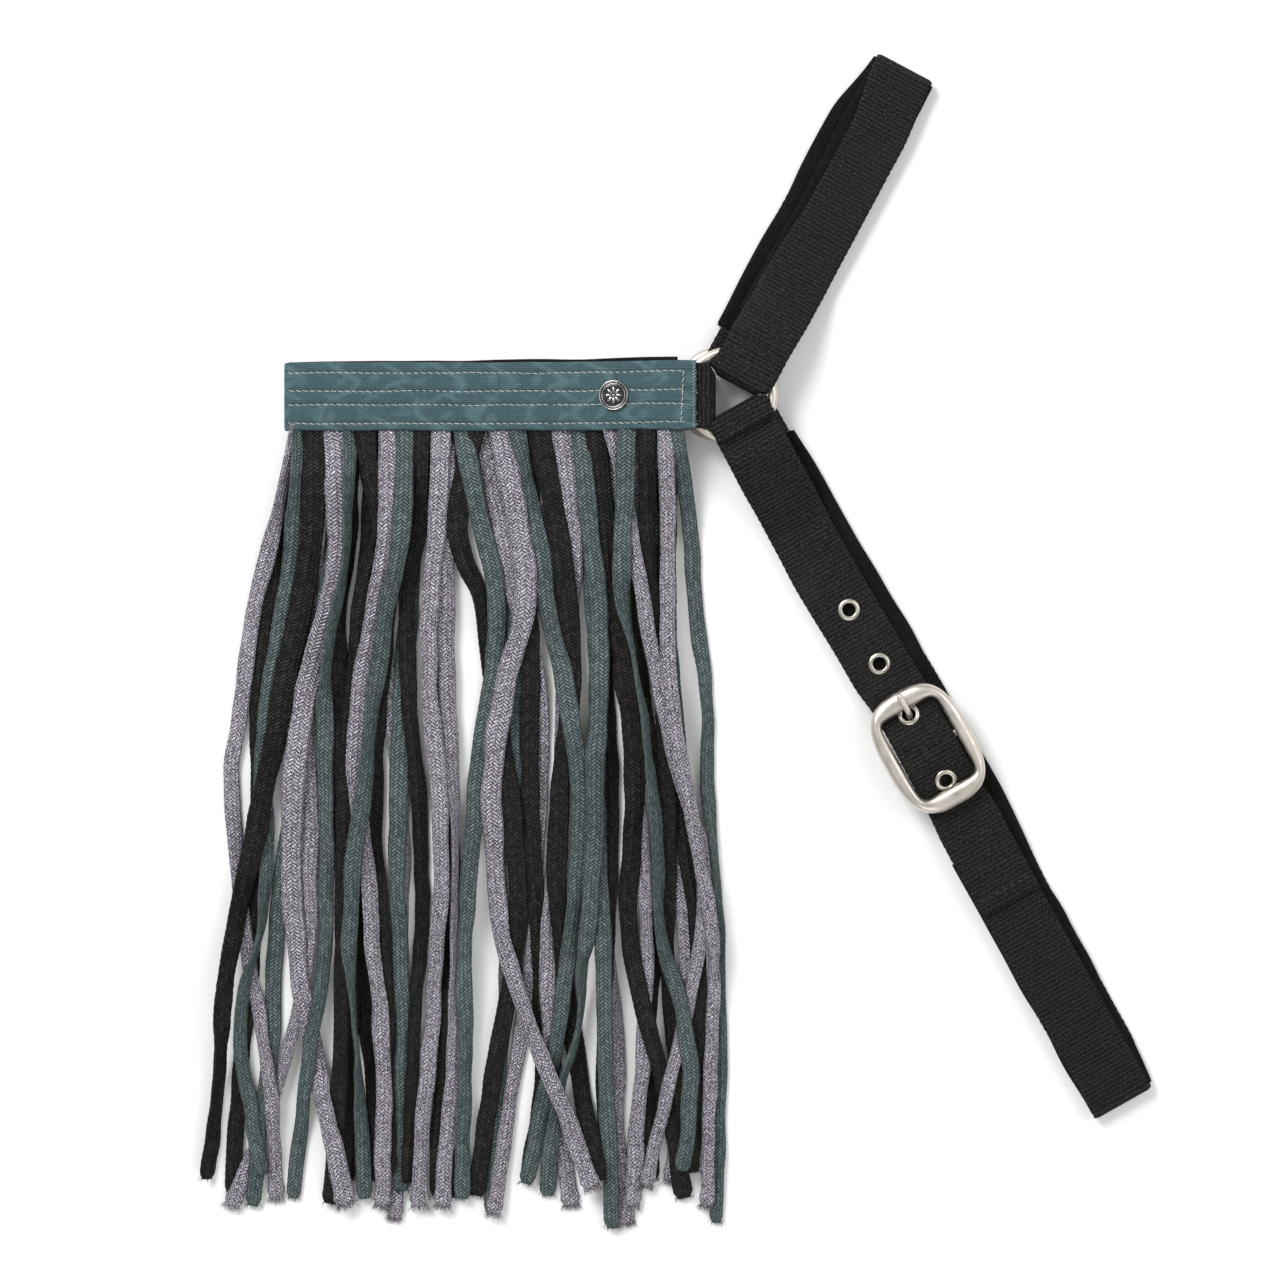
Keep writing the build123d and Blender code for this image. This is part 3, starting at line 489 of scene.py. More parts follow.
def frayed(random_source, tip, tangent, side, up, width, thick, count, reach):
    """Loose yarn ends: thin ribbons that leave the cut end and spread."""
    verts, quads = [], []
    for _ in range(count):
        offset = random_source.uniform(-0.46, 0.46)
        height = random_source.uniform(-0.4, 0.4)
        at = tip + side * offset * width + up * height * thick
        at = at - tangent * random_source.uniform(0, 1.5) * MM
        spread = side * (offset * 0.9 + random_source.gauss(0, 0.28)) + up * random_source.uniform(-0.3, 0.35)
        heading = tangent + spread
        length = reach * random_source.uniform(0.35, 1.0)
        curl = side * random_source.gauss(0, 0.5) + up * random_source.gauss(-0.2, 0.25)
        half = random_source.uniform(0.07, 0.16) * MM
        segments = 5
        for k in range(segments + 1):
            t = k / segments
            place = at + heading * length * t + curl * length * t * t * 0.5
            reached = np.linalg.norm(place - tip)
            place = tip + (place - tip) * min(1.0, 6.0 * MM / max(reached, 1e-6))
            place[2] = max(place[2], 0.15 * MM)
            taper = half * (1 - 0.7 * t)
            verts += [place - side * taper, place + side * taper]
            if k < segments:
                base = len(verts) - 2
                quads.append((base, base + 1, base + 3, base + 2))
    return np.array(verts), quads


STRANDS = {}


def braid(name, route, row, seed, declared=True):
    """A flat hollow braid that lies on whatever is already in the pile."""
    random_source = random.Random(seed)
    start = [(route[0][0], SEAM_Y)] + route[1:]
    line = spline_points(name, [(x, y, 0.0) for x, y in start])
    line, places = even(line, 0.9 * MM)
    line[:, 0] += 0.35 * MM * wander(random_source, places, 40 * MM) * smoothstep(places, 8 * MM, 40 * MM)
    tangent, side, up = frames(line)
    pressed = WIDTHS.get(name, 1.0) * (1 - 0.14 * smoothstep(places, 120 * MM, 230 * MM))
    width = STRAND_WIDTH * pressed * (1 + 0.07 * wander(random_source, places, 45 * MM))
    thick = STRAND_THICK * (0.6 + 0.4 * smoothstep(places, 2 * MM, 14 * MM))
    loose = smoothstep(places, 25 * MM, 60 * MM)
    twist = np.radians(11) * wander(random_source, places, 95 * MM) * loose
    for middle, reach, turn in TURNS.get(name, []):
        twist += math.radians(turn) * np.exp(-(((places / MM - middle) / reach) ** 2))
    offsets = np.linspace(-0.46, 0.46, 9)
    across = line[:, None, :2] + side[:, None, :2] * (offsets[None, :, None] * width[:, None, None])
    under = pile.at(across)
    left, right = under[:, :4].max(axis=1), under[:, 5:].max(axis=1)
    lean = np.arctan2(smooth_line(right - left, 15), 0.85 * width)
    roll = np.clip(0.75 * lean * loose, -0.4, 0.4) + twist
    half_height = np.abs(np.sin(twist)) * width * 0.42 + thick * 0.5
    support = np.maximum((left + right) / 2, under.max(axis=1) - 0.9 * MM)
    middle = settle(support + half_height, places, seam_height(route[0][0], row))
    middle = np.maximum(middle, 0.5 * thick + np.abs(np.sin(roll)) * width * 0.42 + 0.05 * MM)
    line[:, 2] = middle
    tangent, side, up = frames(line)
    turned_side = side * np.cos(roll)[:, None] + up * np.sin(roll)[:, None]
    turned_up = up * np.cos(roll)[:, None] - side * np.sin(roll)[:, None]
    lens = np.sqrt(1 - np.clip(np.abs(offsets) * 2, 0, 1) ** 2) * 0.5
    tops = middle[:, None] + offsets * width[:, None] * np.sin(roll)[:, None] + lens * thick[:, None]
    pile.add(across, tops)

    corners = 24
    angle = np.linspace(0, 2 * math.pi, corners, endpoint=False)
    flat = np.cos(angle)
    crown = np.sign(np.sin(angle)) * np.abs(np.sin(angle)) ** 0.72
    scallop = 1 + 0.022 * np.sin(2 * math.pi * places / (2 * STITCH) + random_source.uniform(0, 6))
    sag = 0.12 * flat**2
    sideways = flat[None, :] * (width * scallop / 2)[:, None]
    upward = (crown[None, :] * 0.5 + sag[None, :] * -0.3) * thick[:, None]
    ring = turned_side[:, None, :] * sideways[..., None] + turned_up[:, None, :] * upward[..., None]
    cut = np.exp(-((places[-1] - places) / (1.6 * MM)) ** 2)
    knob = np.exp(-((places[-1] - places - 2.6 * MM) / (2.4 * MM)) ** 2) * (0.2 if "grey" in name else 0.0)
    rings = line[:, None, :] + ring * (1 + knob - 0.35 * cut)[:, None, None]
    rings[:, :, 2] = np.maximum(rings[:, :, 2], 0.08 * MM)
    flare = "grey" in name
    fibre_count, fibre_reach = (110, 3.4 * MM) if flare else (34, 2.0 * MM)
    fibres = frayed(random_source, line[-1], tangent[-1], turned_side[-1], turned_up[-1], width[-1],
                    thick[-1], fibre_count, fibre_reach)
    turns = np.arange(corners + 1) * BRAID_COLUMNS / corners
    piece = loft(name.replace("strand", "cord"), rings, turns, places / STITCH, fibres)
    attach(piece, "fringe")
    if declared:
        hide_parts(name)
    STRANDS[name] = piece
    return piece


seed = 100
for layer in ORDER["back"]:
    for short in layer:
        seed += 1
        braid("strand_" + short, ROUTES["strand_" + short], "back", seed)
inner = []
for name, route in INNER_ROUTES.items():
    seed += 1
    inner.append(braid(name, route, "back", seed, declared=False))
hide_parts("inner_strands")
for layer in ORDER["front"]:
    for short in layer:
        seed += 1
        braid("strand_" + short, ROUTES["strand_" + short], "front", seed)


# ---- materials: small helpers ------------------------------------------------------------------------
class Nodes:
    """Builds one material's node tree."""

    def __init__(self, name):
        self.material = bpy.data.materials.new(name)
        self.material.use_nodes = True
        self.tree = self.material.node_tree
        self.shader = self.tree.nodes["Principled BSDF"]

    def link(self, value, socket):
        if isinstance(value, (int, float)):
            socket.default_value = value
        elif isinstance(value, tuple):
            socket.default_value = value if len(value) == 4 or len(socket.default_value) == 3 else (*value, 1)
        else:
            self.tree.links.new(value, socket)

    def math(self, kind, a, b=0.0, c=0.0, clamp=False):
        node = self.tree.nodes.new("ShaderNodeMath")
        node.operation = kind
        node.use_clamp = clamp
        for value, socket in zip((a, b, c), node.inputs):
            self.link(value, socket)
        return node.outputs[0]

    def mix(self, factor, a, b, blend="MIX"):
        node = self.tree.nodes.new("ShaderNodeMix")
        node.data_type = "RGBA"
        node.blend_type = blend
        self.link(factor, node.inputs[0])
        self.link(a, node.inputs[6])
        self.link(b, node.inputs[7])
        return node.outputs[2]

    def uv(self):
        node = self.tree.nodes.new("ShaderNodeUVMap")
        node.uv_map = "cloth"
        split = self.tree.nodes.new("ShaderNodeSeparateXYZ")
        self.tree.links.new(node.outputs[0], split.inputs[0])
        return split.outputs[0], split.outputs[1]

    def combine(self, x, y, z=0.0):
        node = self.tree.nodes.new("ShaderNodeCombineXYZ")
        for value, socket in zip((x, y, z), node.inputs):
            self.link(value, socket)
        return node.outputs[0]

    def place(self):
        return self.tree.nodes.new("ShaderNodeTexCoord").outputs["Object"]

    def noise(self, scale, detail=3.0, rough=0.6, vector=None):
        node = self.tree.nodes.new("ShaderNodeTexNoise")
        node.inputs["Scale"].default_value = scale
        node.inputs["Detail"].default_value = detail
        node.inputs["Roughness"].default_value = rough
        self.tree.links.new(self.place() if vector is None else vector, node.inputs["Vector"])
        return node.outputs["Fac"]

    def white(self, vector):
        node = self.tree.nodes.new("ShaderNodeTexWhiteNoise")
        node.noise_dimensions = "3D"
        self.tree.links.new(vector, node.inputs["Vector"])
        return node.outputs["Value"]

    def spread(self, value, low, high, out_low=0.0, out_high=1.0):
        node = self.tree.nodes.new("ShaderNodeMapRange")
        node.interpolation_type = "SMOOTHSTEP"
        for key, number in (("From Min", low), ("From Max", high), ("To Min", out_low), ("To Max", out_high)):
            node.inputs[key].default_value = number
        self.link(value, node.inputs["Value"])
        return node.outputs["Result"]

    def wave(self, value, period):
        """0 to 1 and back once in each period."""
        turns = self.math("MULTIPLY", value, 2 * math.pi / period)
        return self.math("MULTIPLY_ADD", self.math("COSINE", turns), -0.5, 0.5)

    def bump(self, height, distance, strength=1.0):
        node = self.tree.nodes.new("ShaderNodeBump")
        node.inputs["Strength"].default_value = strength
        node.inputs["Distance"].default_value = distance
        self.link(height, node.inputs["Height"])
        self.tree.links.new(node.outputs["Normal"], self.shader.inputs["Normal"])
        return node

    def set(self, **values):
        for key, value in values.items():
            self.link(value, self.shader.inputs[key.replace("_", " ")])
        return self.material


def cord_material(name, base, light, dark, speckle, glitter):
    m = Nodes(name)
    u, v = m.uv()
    column = m.math("FLOOR", u)
    across = m.math("SUBTRACT", u, column)
    parity = m.math("PINGPONG", column, 1.0)
    slant = m.math("MULTIPLY", m.math("SUBTRACT", across, 0.5), m.math("MULTIPLY_ADD", parity, -1.9, 0.95))
    shifted = m.math("ADD", m.math("ADD", v, slant), m.math("MULTIPLY", parity, 0.5))
    stitch = m.math("FLOOR", shifted)
    within = m.math("SUBTRACT", shifted, stitch)
    across_hump = m.math("SINE", m.math("MULTIPLY", across, math.pi))
    along_hump = m.math("SINE", m.math("MULTIPLY", within, math.pi))
    along_round = m.math("POWER", along_hump, 0.7)
    hump = m.math("MULTIPLY", along_round, m.math("MULTIPLY_ADD", across_hump, 0.45, 0.55))
    yarn = m.white(m.combine(column, stitch))
    fibre = m.noise(1900, 2.0, 0.75)
    blotch = m.noise(60, 3.0, 0.6)
    color = m.mix(m.spread(yarn, 0.3, 1.0, 0.0, 0.45), base, light)
    color = m.mix(m.spread(yarn, 0.45, 0.0, 0.0, 0.4), color, dark)
    color = m.mix(m.spread(fibre, 0.5, 0.64, 0.0, speckle), color, light)
    color = m.mix(m.spread(fibre, 0.5, 0.37, 0.0, speckle), color, dark)
    color = m.mix(m.spread(blotch, 0.35, 0.7, 0.0, 0.2), color, dark)
    # painted shade: darkens the grooves between stitches, where the stitch hump is low
    color = m.mix(m.spread(hump, 0.8, 0.3, 0.0, 0.9), color, tuple(c * 0.35 for c in dark))
    if glitter:
        tint = m.noise(1300, 1.0, 0.5)
        color = m.mix(m.spread(tint, 0.55, 0.7, 0.0, 0.5), color, (0.30, 0.17, 0.33))
        # painted glints: near-white sparkle spots in the base colour of the metallic yarn
        color = m.mix(m.spread(m.noise(2600, 0.0), 0.64, 0.74, 0.0, 0.9), color, (0.95, 0.95, 1.0))
        m.set(Metallic=m.spread(yarn, 0.6, 0.9, 0.0, 0.4))
    m.bump(m.math("MULTIPLY_ADD", fibre, 0.35, hump), 0.7 * MM, 1.0)
    rough = m.spread(fibre, 0.35, 0.7, 0.75, 0.35 if glitter else 0.55)
    return m.set(Base_Color=color, Roughness=rough, Specular_IOR_Level=0.5 if glitter else 0.2)


CORDS = {
    "grey": cord_material(
        "cord_grey", (0.27, 0.245, 0.29), (0.78, 0.75, 0.84), (0.04, 0.03, 0.05), 0.95, True),
    "teal": cord_material(
        "cord_teal", (0.115, 0.155, 0.160), (0.27, 0.33, 0.335), (0.03, 0.045, 0.05), 0.45, False),
    "black": cord_material(
        "cord_black", (0.011, 0.010, 0.010), (0.060, 0.055, 0.050), (0.002, 0.002, 0.002), 0.5, False),
}
for name, piece in STRANDS.items():
    color_name = name.rsplit("_", 1)[1]
    piece.data.materials.append(CORDS[color_name])


# ---- straps ------------------------------------------------------------------------------------------
WEB_THICK = 1.7 * MM


def heading(angle):
    """Unit vectors along a strap and to its right."""
    out = np.array([math.cos(angle), math.sin(angle), 0.0])
    right = np.array([math.sin(angle), -math.cos(angle), 0.0])
    return out, right


def on_strap(angle, s, across, z):
    """A place given by distance from the ring centre, offset to the right of the strap, and height, in mm."""
    out, right = heading(angle)
    place = np.array([RING.x, RING.y, 0.0]) + (out * s + right * across) * MM
    place[2] = z * MM
    return place


def rounded(points, radii):
    """The corners of a route in mm turned into arcs."""
    line = [np.array(points[0], float)]
    for before, corner, after, radius in zip(points, points[1:], points[2:], radii):
        before, corner, after = (np.array(p, float) for p in (before, corner, after))
        a = (before - corner) / np.linalg.norm(before - corner)
        b = (after - corner) / np.linalg.norm(after - corner)
        turn = math.pi - math.acos(np.clip(a @ b, -1, 1))
        cut = radius * math.tan(turn / 2)
        start, end = corner + a * cut, corner + b * cut
        count = max(4, int(turn * radius / 0.35) + 2)
        middle = corner + (a + b) / np.linalg.norm(a + b) * radius / math.cos(turn / 2)
        u, v = start - middle, end - middle
        for k in range(count + 1):
            t = k / count
            line.append(middle + (u * math.sin((1 - t) * turn) + v * math.sin(t * turn)) / math.sin(turn))
    line.append(np.array(points[-1], float))
    return np.array(line)


def resample(line, step):
    gaps = np.linalg.norm(np.diff(line, axis=0), axis=1)
    reach = np.concatenate([[0], np.cumsum(gaps)])
    places = np.linspace(0, reach[-1], int(reach[-1] / step) + 1)
    return np.stack([np.interp(places, reach, line[:, c]) for c in range(line.shape[1])], -1), places


def ribbon(name, angle, route, width, thick, seed, step=0.45, rib=3.0, depth=0.12, edge=0.55, columns=18,
           shape=None, wobble=0.18, sway=None):
    """A strip of webbing or cloth along a route of (distance, height) in mm, with rounded selvedges and ribs.

    shape(distance, height) scales the width; sway(distance, height) shifts it sideways in mm.
    """
    random_source = random.Random(seed)
    line, places = resample(route, step)
    out, right = heading(angle)
    tangent = np.gradient(line, axis=0)
    tangent /= np.linalg.norm(tangent, axis=1, keepdims=True)
    normal = np.stack([-tangent[:, 1], tangent[:, 0]], -1)
    half = np.full(len(line), width / 2)
    if shape is not None:
        half = half * np.array([shape(s, z) for s, z in line])
    shift = np.zeros(len(line))
    if sway is not None:
        shift = np.array([sway(s, z) for s, z in line])
    left = half + wobble * wander(random_source, places, 60)
    right_half = half + wobble * wander(random_source, places, 60)
    across = np.linspace(-1, 1, columns)
    rim = 2 * edge / width * 1.6
    fall = 1 - np.clip((np.abs(across) - (1 - rim)) / rim, 0, 1) ** 2 * 0.75
    section_x = np.concatenate([across, across[::-1]])
    section_h = np.concatenate([fall, -fall[::-1]]) * thick / 2
    rib_wave = np.cos(2 * math.pi * places / rib) if rib else np.zeros(len(places))
    relief = depth * 0.5 * rib_wave[:, None] * np.sign(section_h)[None, :]
    x = np.where(section_x < 0, section_x * left[:, None], section_x * right_half[:, None]) + shift[:, None]
    scallop = 0.10 * np.cos(2 * math.pi * places / rib)[:, None] * section_x[None, :] ** 9 if rib else 0
    x = x + scallop
    h = section_h[None, :] + relief
    s = line[:, 0, None] + normal[:, 0, None] * h
    z = line[:, 1, None] + normal[:, 1, None] * h
    rings = (np.array([RING.x, RING.y, 0.0]) + (out * s[..., None] + right * x[..., None]) * MM)
    rings[..., 2] = np.maximum(z * MM, 0.03 * MM)
    around = np.concatenate([across * width / 2, across[::-1] * width / 2, [-width / 2]])
    return loft(name, rings, around, places)


LOOP_BEND = (2.6, 2.6)


def loop_route(bottom, top, start, reach, slit=None):
    """From the underside round the inner fold to the top; slit is where a sewn fold sinks the top layer."""
    line = rounded([(reach, bottom), (start, bottom), (start, top), (reach, top)], LOOP_BEND)
    if slit is None:
        return line
    line = resample(line, 0.3)[0]
    sunk = smoothstep(line[:, 0], slit - 0.5, slit + 0.1) * smoothstep(line[:, 1], top - 1, top)
    line[:, 1] -= 1.1 * sunk
    return line


def loop_shape(angle_start):
    def shape(s, z):
        return float(0.74 + 0.26 * smoothstep(s, angle_start, angle_start + 2.4))
    return shape


WEB_PIECES, LINING_PIECES = [], []


def web_loop(node, angle, start, reach, low, high, width, seed, shift=0.0, slit=None):
    route = loop_route(low, high, start, reach, slit)
    piece = ribbon(node + "_web", angle, route, width, WEB_THICK / MM, seed, shape=loop_shape(start),
                   sway=lambda s, z: shift * float(smoothstep(s, start, start + 6)))
    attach(piece, "browband")
    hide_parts(node)
    WEB_PIECES.append(piece)
    return piece


web_loop("poll_loop_front", POLL_ANGLE, 6.1, 23.6, 9.1, 15.2, 26.2, 1, shift=1.0)
web_loop("throat_loop_front", THROAT_ANGLE, 5.6, 23.6, 9.1, 15.2, 26.2, 2, shift=0.5, slit=15.7)
web_loop("poll_loop_back", POLL_ANGLE, 6.3, 23.6, 0.9, 7.0, 25.0, 3, shift=-3.4)
web_loop("throat_loop_back", THROAT_ANGLE, 6.3, 23.6, 0.9, 7.0, 25.0, 4, shift=-2.0)
web_loop("band_tab_front", math.pi, 6.3, 23.4, 9.1, 15.2, 26.4, 5)
web_loop("band_tab_back", math.pi, 6.3, 23.4, 0.9, 7.0, 26.4, 6)


def curve_of(*knots):
    """A smooth function of distance through (distance, value) knots."""
    places = [k[0] for k in knots]
    values = [k[1] for k in knots]

    def value(s):
        i = int(np.clip(np.searchsorted(places, s) - 1, 0, len(places) - 2))
        t = float(smoothstep(s, places[i], places[i + 1]))
        return values[i] * (1 - t) + values[i + 1] * t
    return value


def two_layers(front, back, split=3.2):
    """One function for a folded strap: front above the split height, back below it."""
    def value(s, z):
        t = float(smoothstep(z, split - 0.6, split + 0.6))
        return front(s) * t + back(s) * (1 - t)
    return value


# The poll strap: one webbing from the front ring to the fold and back, with a soft lining inside it.
poll_points = [(23.7, 15.2), (28, 15.2), (56, 5.7), (150.2, 5.7), (150.2, 0.9), (23.8, 0.9)]
poll_route = rounded(poll_points, (20, 20, 2.3, 2.3))
poll_front_lean = curve_of((0, 0.9), (24, 1.1), (43, 1.7), (90, 3.3), (118, 3.5), (151, 0.6))
poll_back_lean = curve_of((20, -4.8), (122, -4.6), (151, 0.6))
poll_front_width = curve_of((0, 1.0), (50, 0.99), (90, 0.89), (118, 0.88), (151, 0.95))
poll = ribbon("poll_strap_web", POLL_ANGLE, poll_route, 26.4, WEB_THICK / MM, 11,
              shape=two_layers(poll_front_width, curve_of((0, 1.0), (122, 0.99), (151, 0.95)), 3.2),
              sway=two_layers(poll_front_lean, poll_back_lean, 3.2))
on_strap(POLL_ANGLE, 23.9, 0, 14)
on_strap(POLL_ANGLE, 29, 0, 14)
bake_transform(poll)
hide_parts("poll_webbing")
WEB_PIECES.append(poll)
poll_lining_route = rounded([(33.5, 11.9), (56, 4.2), (149, 4.2), (149, 2.2), (24.4, 2.2)], (20, 0.9, 0.9))
poll_soft = ribbon("poll_lining_cloth", POLL_ANGLE, poll_lining_route, 26.8, 1.5, 12, rib=0, depth=0,
                   edge=0.7, wobble=0.5, step=0.9,
                   sway=two_layers(curve_of((30, 0.4), (90, 1.2), (150, 0.6)), poll_back_lean, 3.2))
on_strap(POLL_ANGLE, 23.9, 0, 2)
on_strap(POLL_ANGLE, 29, 0, 2)
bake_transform(poll_soft)
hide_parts("poll_lining")
LINING_PIECES.append(poll_soft)


# The throat strap: the eyelet strap comes from the ring, and the buckle strap goes round the fold and back.
HUMP_Z, TIP_Z, LOW_Z = 12.4, 7.5, 4.9
EYELETS = ((98.7, LOW_Z, 0.0), (123.7, LOW_Z, 0.0), (147.3, TIP_Z + 6.3 * 0.306, 0.306),
           (177.3, HUMP_Z - 8.8 * 0.306, -0.306))
BUCKLE_S = 162.7
eyelet_route = rounded([(17.9, 16.9), (25, 16.9), (58, LOW_Z), (130.5, LOW_Z), (141, TIP_Z), (157, HUMP_Z),
                        (168.5, HUMP_Z), (184.5, TIP_Z), (233, TIP_Z)], (20, 20, 8, 6, 6, 6, 6))
slim = curve_of((0, 1.0), (128, 0.99), (142, 0.93), (184, 0.93), (198, 1.0), (233, 0.99))
lean = curve_of((0, 0.6), (40, 1.1), (80, 1.5), (125, 0.6), (142, 0.0), (184, 0.0), (233, 0.8))
eyelet_web = ribbon("eyelet_strap_web", THROAT_ANGLE, eyelet_route, 26.2, WEB_THICK / MM, 21,
                    shape=lambda s, z: slim(s), sway=lambda s, z: lean(s))


def punch(piece, angle, holes, radius, low=-1e9):
    """Takes out the faces round each hole; the metal that lines the hole covers the cut edge."""
    mesh = piece.data
    centres = np.empty(len(mesh.polygons) * 3)
    mesh.polygons.foreach_get("center", centres)
    centres = centres.reshape(-1, 3)
    out, right = heading(angle)
    cut = np.zeros(len(centres), bool)
    for s, across in holes:
        middle = np.array([RING.x, RING.y, 0]) + (out * s + right * across) * MM
        near = np.linalg.norm(centres[:, :2] - middle[:2], axis=1) < radius * MM
        cut |= near & (centres[:, 2] > low * MM)
    work = bmesh.new()
    work.from_mesh(mesh)
    work.faces.ensure_lookup_table()
    bmesh.ops.delete(work, geom=[work.faces[i] for i in np.nonzero(cut)[0]], context="FACES")
    work.to_mesh(mesh)
    work.free()


punch(eyelet_web, THROAT_ANGLE, [(s, 0) for s, _, _ in EYELETS], 3.5)
on_strap(THROAT_ANGLE, 18.0, 0, 16)
on_strap(THROAT_ANGLE, 25.5, 0, 16)
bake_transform(eyelet_web)
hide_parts("eyelet_strap")
WEB_PIECES.append(eyelet_web)

BUCKLE_Z = 7.8      # height of the buckle bar's middle, in mm
bar = 2.5           # the webbing's middle line goes round the bar at this radius
buckle_route = rounded([(206, 3.95), (181, 3.95), (166, BUCKLE_Z - bar), (162.7 - bar, BUCKLE_Z - bar),
                        (162.7 - bar, BUCKLE_Z + bar), (165.5, BUCKLE_Z + bar), (180.5, 5.6), (326.2, 5.6),
                        (326.2, 0.9), (23.8, 0.9)], (10, 10, 2.4, 2.4, 5, 5, 2.3, 2.3))
front_slim = curve_of((0, 0.93), (184, 0.93), (200, 1.0), (326, 0.99))
back_lean = curve_of((20, -2.5), (40, -4.2), (90, -4.6), (150, -5.6), (200, -5.2), (236, -3.0),
                     (303, -2.4), (327, 0.6))
front_lean = curve_of((0, 0.0), (184, 0.0), (240, 1.0), (300, 1.3), (327, 1.2))
buckle_web = ribbon("buckle_strap_web", THROAT_ANGLE, buckle_route, 26.4, WEB_THICK / MM, 22,
                    shape=two_layers(front_slim, curve_of((0, 0.97), (330, 0.98)), 2.6),
                    sway=two_layers(front_lean, back_lean, 2.6))
punch(buckle_web, THROAT_ANGLE, [(158.7, 0), (161.4, 0), (164.0, 0)], 2.9, low=3.2)
on_strap(THROAT_ANGLE, 23.9, 0, 2)
on_strap(THROAT_ANGLE, 29, 0, 2)
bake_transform(buckle_web)
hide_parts("buckle_strap")
WEB_PIECES.append(buckle_web)

throat_lining_route = rounded([(209, 4.15), (324.6, 4.15), (324.6, 2.25), (24.4, 2.25)], (0.9, 0.9))
soft_lean = curve_of((20, -2.6), (40, -3.6), (90, -3.9), (150, -4.9), (200, -4.6), (236, -2.2),
                     (303, -1.6), (327, 0.6))
throat_soft = ribbon("throat_lining_cloth", THROAT_ANGLE, throat_lining_route, 27.4, 1.3, 23, rib=0, depth=0,
                     edge=0.7, wobble=0.5, step=0.9,
                     sway=two_layers(curve_of((0, 0), (330, 1.0)), soft_lean, 3.2))
on_strap(THROAT_ANGLE, 23.9, 0, 2)
on_strap(THROAT_ANGLE, 29, 0, 2)
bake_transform(throat_soft)
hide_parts("throat_lining")
LINING_PIECES.append(throat_soft)

# ---- browband ----------------------------------------------------------------------------------------
BAND_ROWS = (9.4, 2.05, -3.5, -11.0)      # stitch rows, in mm above the band's middle line
cover_points = [(13.4, 16.6), (26, 16.6), (72, 6.1), (178.9, 6.1), (178.9, 0.75), (24, 0.75)]
cover_route = rounded(cover_points, (40, 40, 2.6, 2.6))
cover = ribbon("browband_cloth", BAND_ANGLE, cover_route, 27.6, 1.3, 31, rib=0, depth=0, edge=0.62,
               columns=56, wobble=0.22, step=0.8)
mesh = cover.data
places = np.empty(len(mesh.vertices) * 3)
mesh.vertices.foreach_get("co", places)
places = places.reshape(-1, 3)
height = (places[:, 1] - RING.y) / MM
dip = sum(np.exp(-(((height - row) / 0.75) ** 2)) for row in BAND_ROWS)
pucker = 0.5 + 0.5 * np.cos(2 * math.pi * places[:, 0] / (2.85 * MM))
quilt = np.sin(places[:, 0] * 41) * np.sin(places[:, 0] * 97 + height * 0.2) * 0.18
swell = 0.55 * (1 - (height / 13.8) ** 2) - dip * (0.42 + 0.22 * pucker) + quilt * (1 - (height / 13.8) ** 4)
places[:, 2] += swell * MM * smoothstep(places[:, 2], 3.2 * MM, 4.4 * MM)
mesh.vertices.foreach_set("co", places.ravel())
mesh.update()
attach(cover, "browband")
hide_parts("browband_cover")

lining_route = rounded([(30.5, 14.1), (72, 4.5), (177.4, 4.5), (177.4, 2.2), (20.6, 2.2)], (40, 1.1, 1.1))
peek = curve_of((20, 2.6), (30, 2.4), (60, 1.7), (110, 1.0), (150, 0.8), (179, 0.3))
band_soft = ribbon("browband_lining_cloth", BAND_ANGLE, lining_route, 27.6, 1.8, 32, rib=0, depth=0, edge=0.8,
                   wobble=0.25, step=1.2, sway=two_layers(curve_of((0, 0.0), (180, 0.1)), peek, 3.35))
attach(band_soft, "browband")
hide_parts("browband_lining")
LINING_PIECES.append(band_soft)


def band_top(s):
    """Middle height of the browband's front layer."""
    if s < 26:
        return 16.6
    if s < 72:
        return 16.6 - (s - 26) * (10.5 / 46)
    return 6.1


def surface_row(row_height, s_from, s_to, seed):
    """Points along a stitch row on the browband, with a hand-sewn waver."""
    random_source = random.Random(seed)
    s = np.arange(s_from, s_to, 0.5)
    waver = 0.22 * wander(random_source, s, 45)
    crown = 0.55 * (1 - (row_height / 13.8) ** 2) - 0.42
    line = []
    for place, shift in zip(s, waver):
        ease = 1 - math.exp(-abs(place - 26) / 6) * 0.35 - math.exp(-abs(place - 72) / 6) * -0.35
        level = band_top(place) + 0.72 + crown + 0.1 * (1 - ease)
        line.append(on_strap(BAND_ANGLE, place, row_height + shift, level))
    return np.array(line)


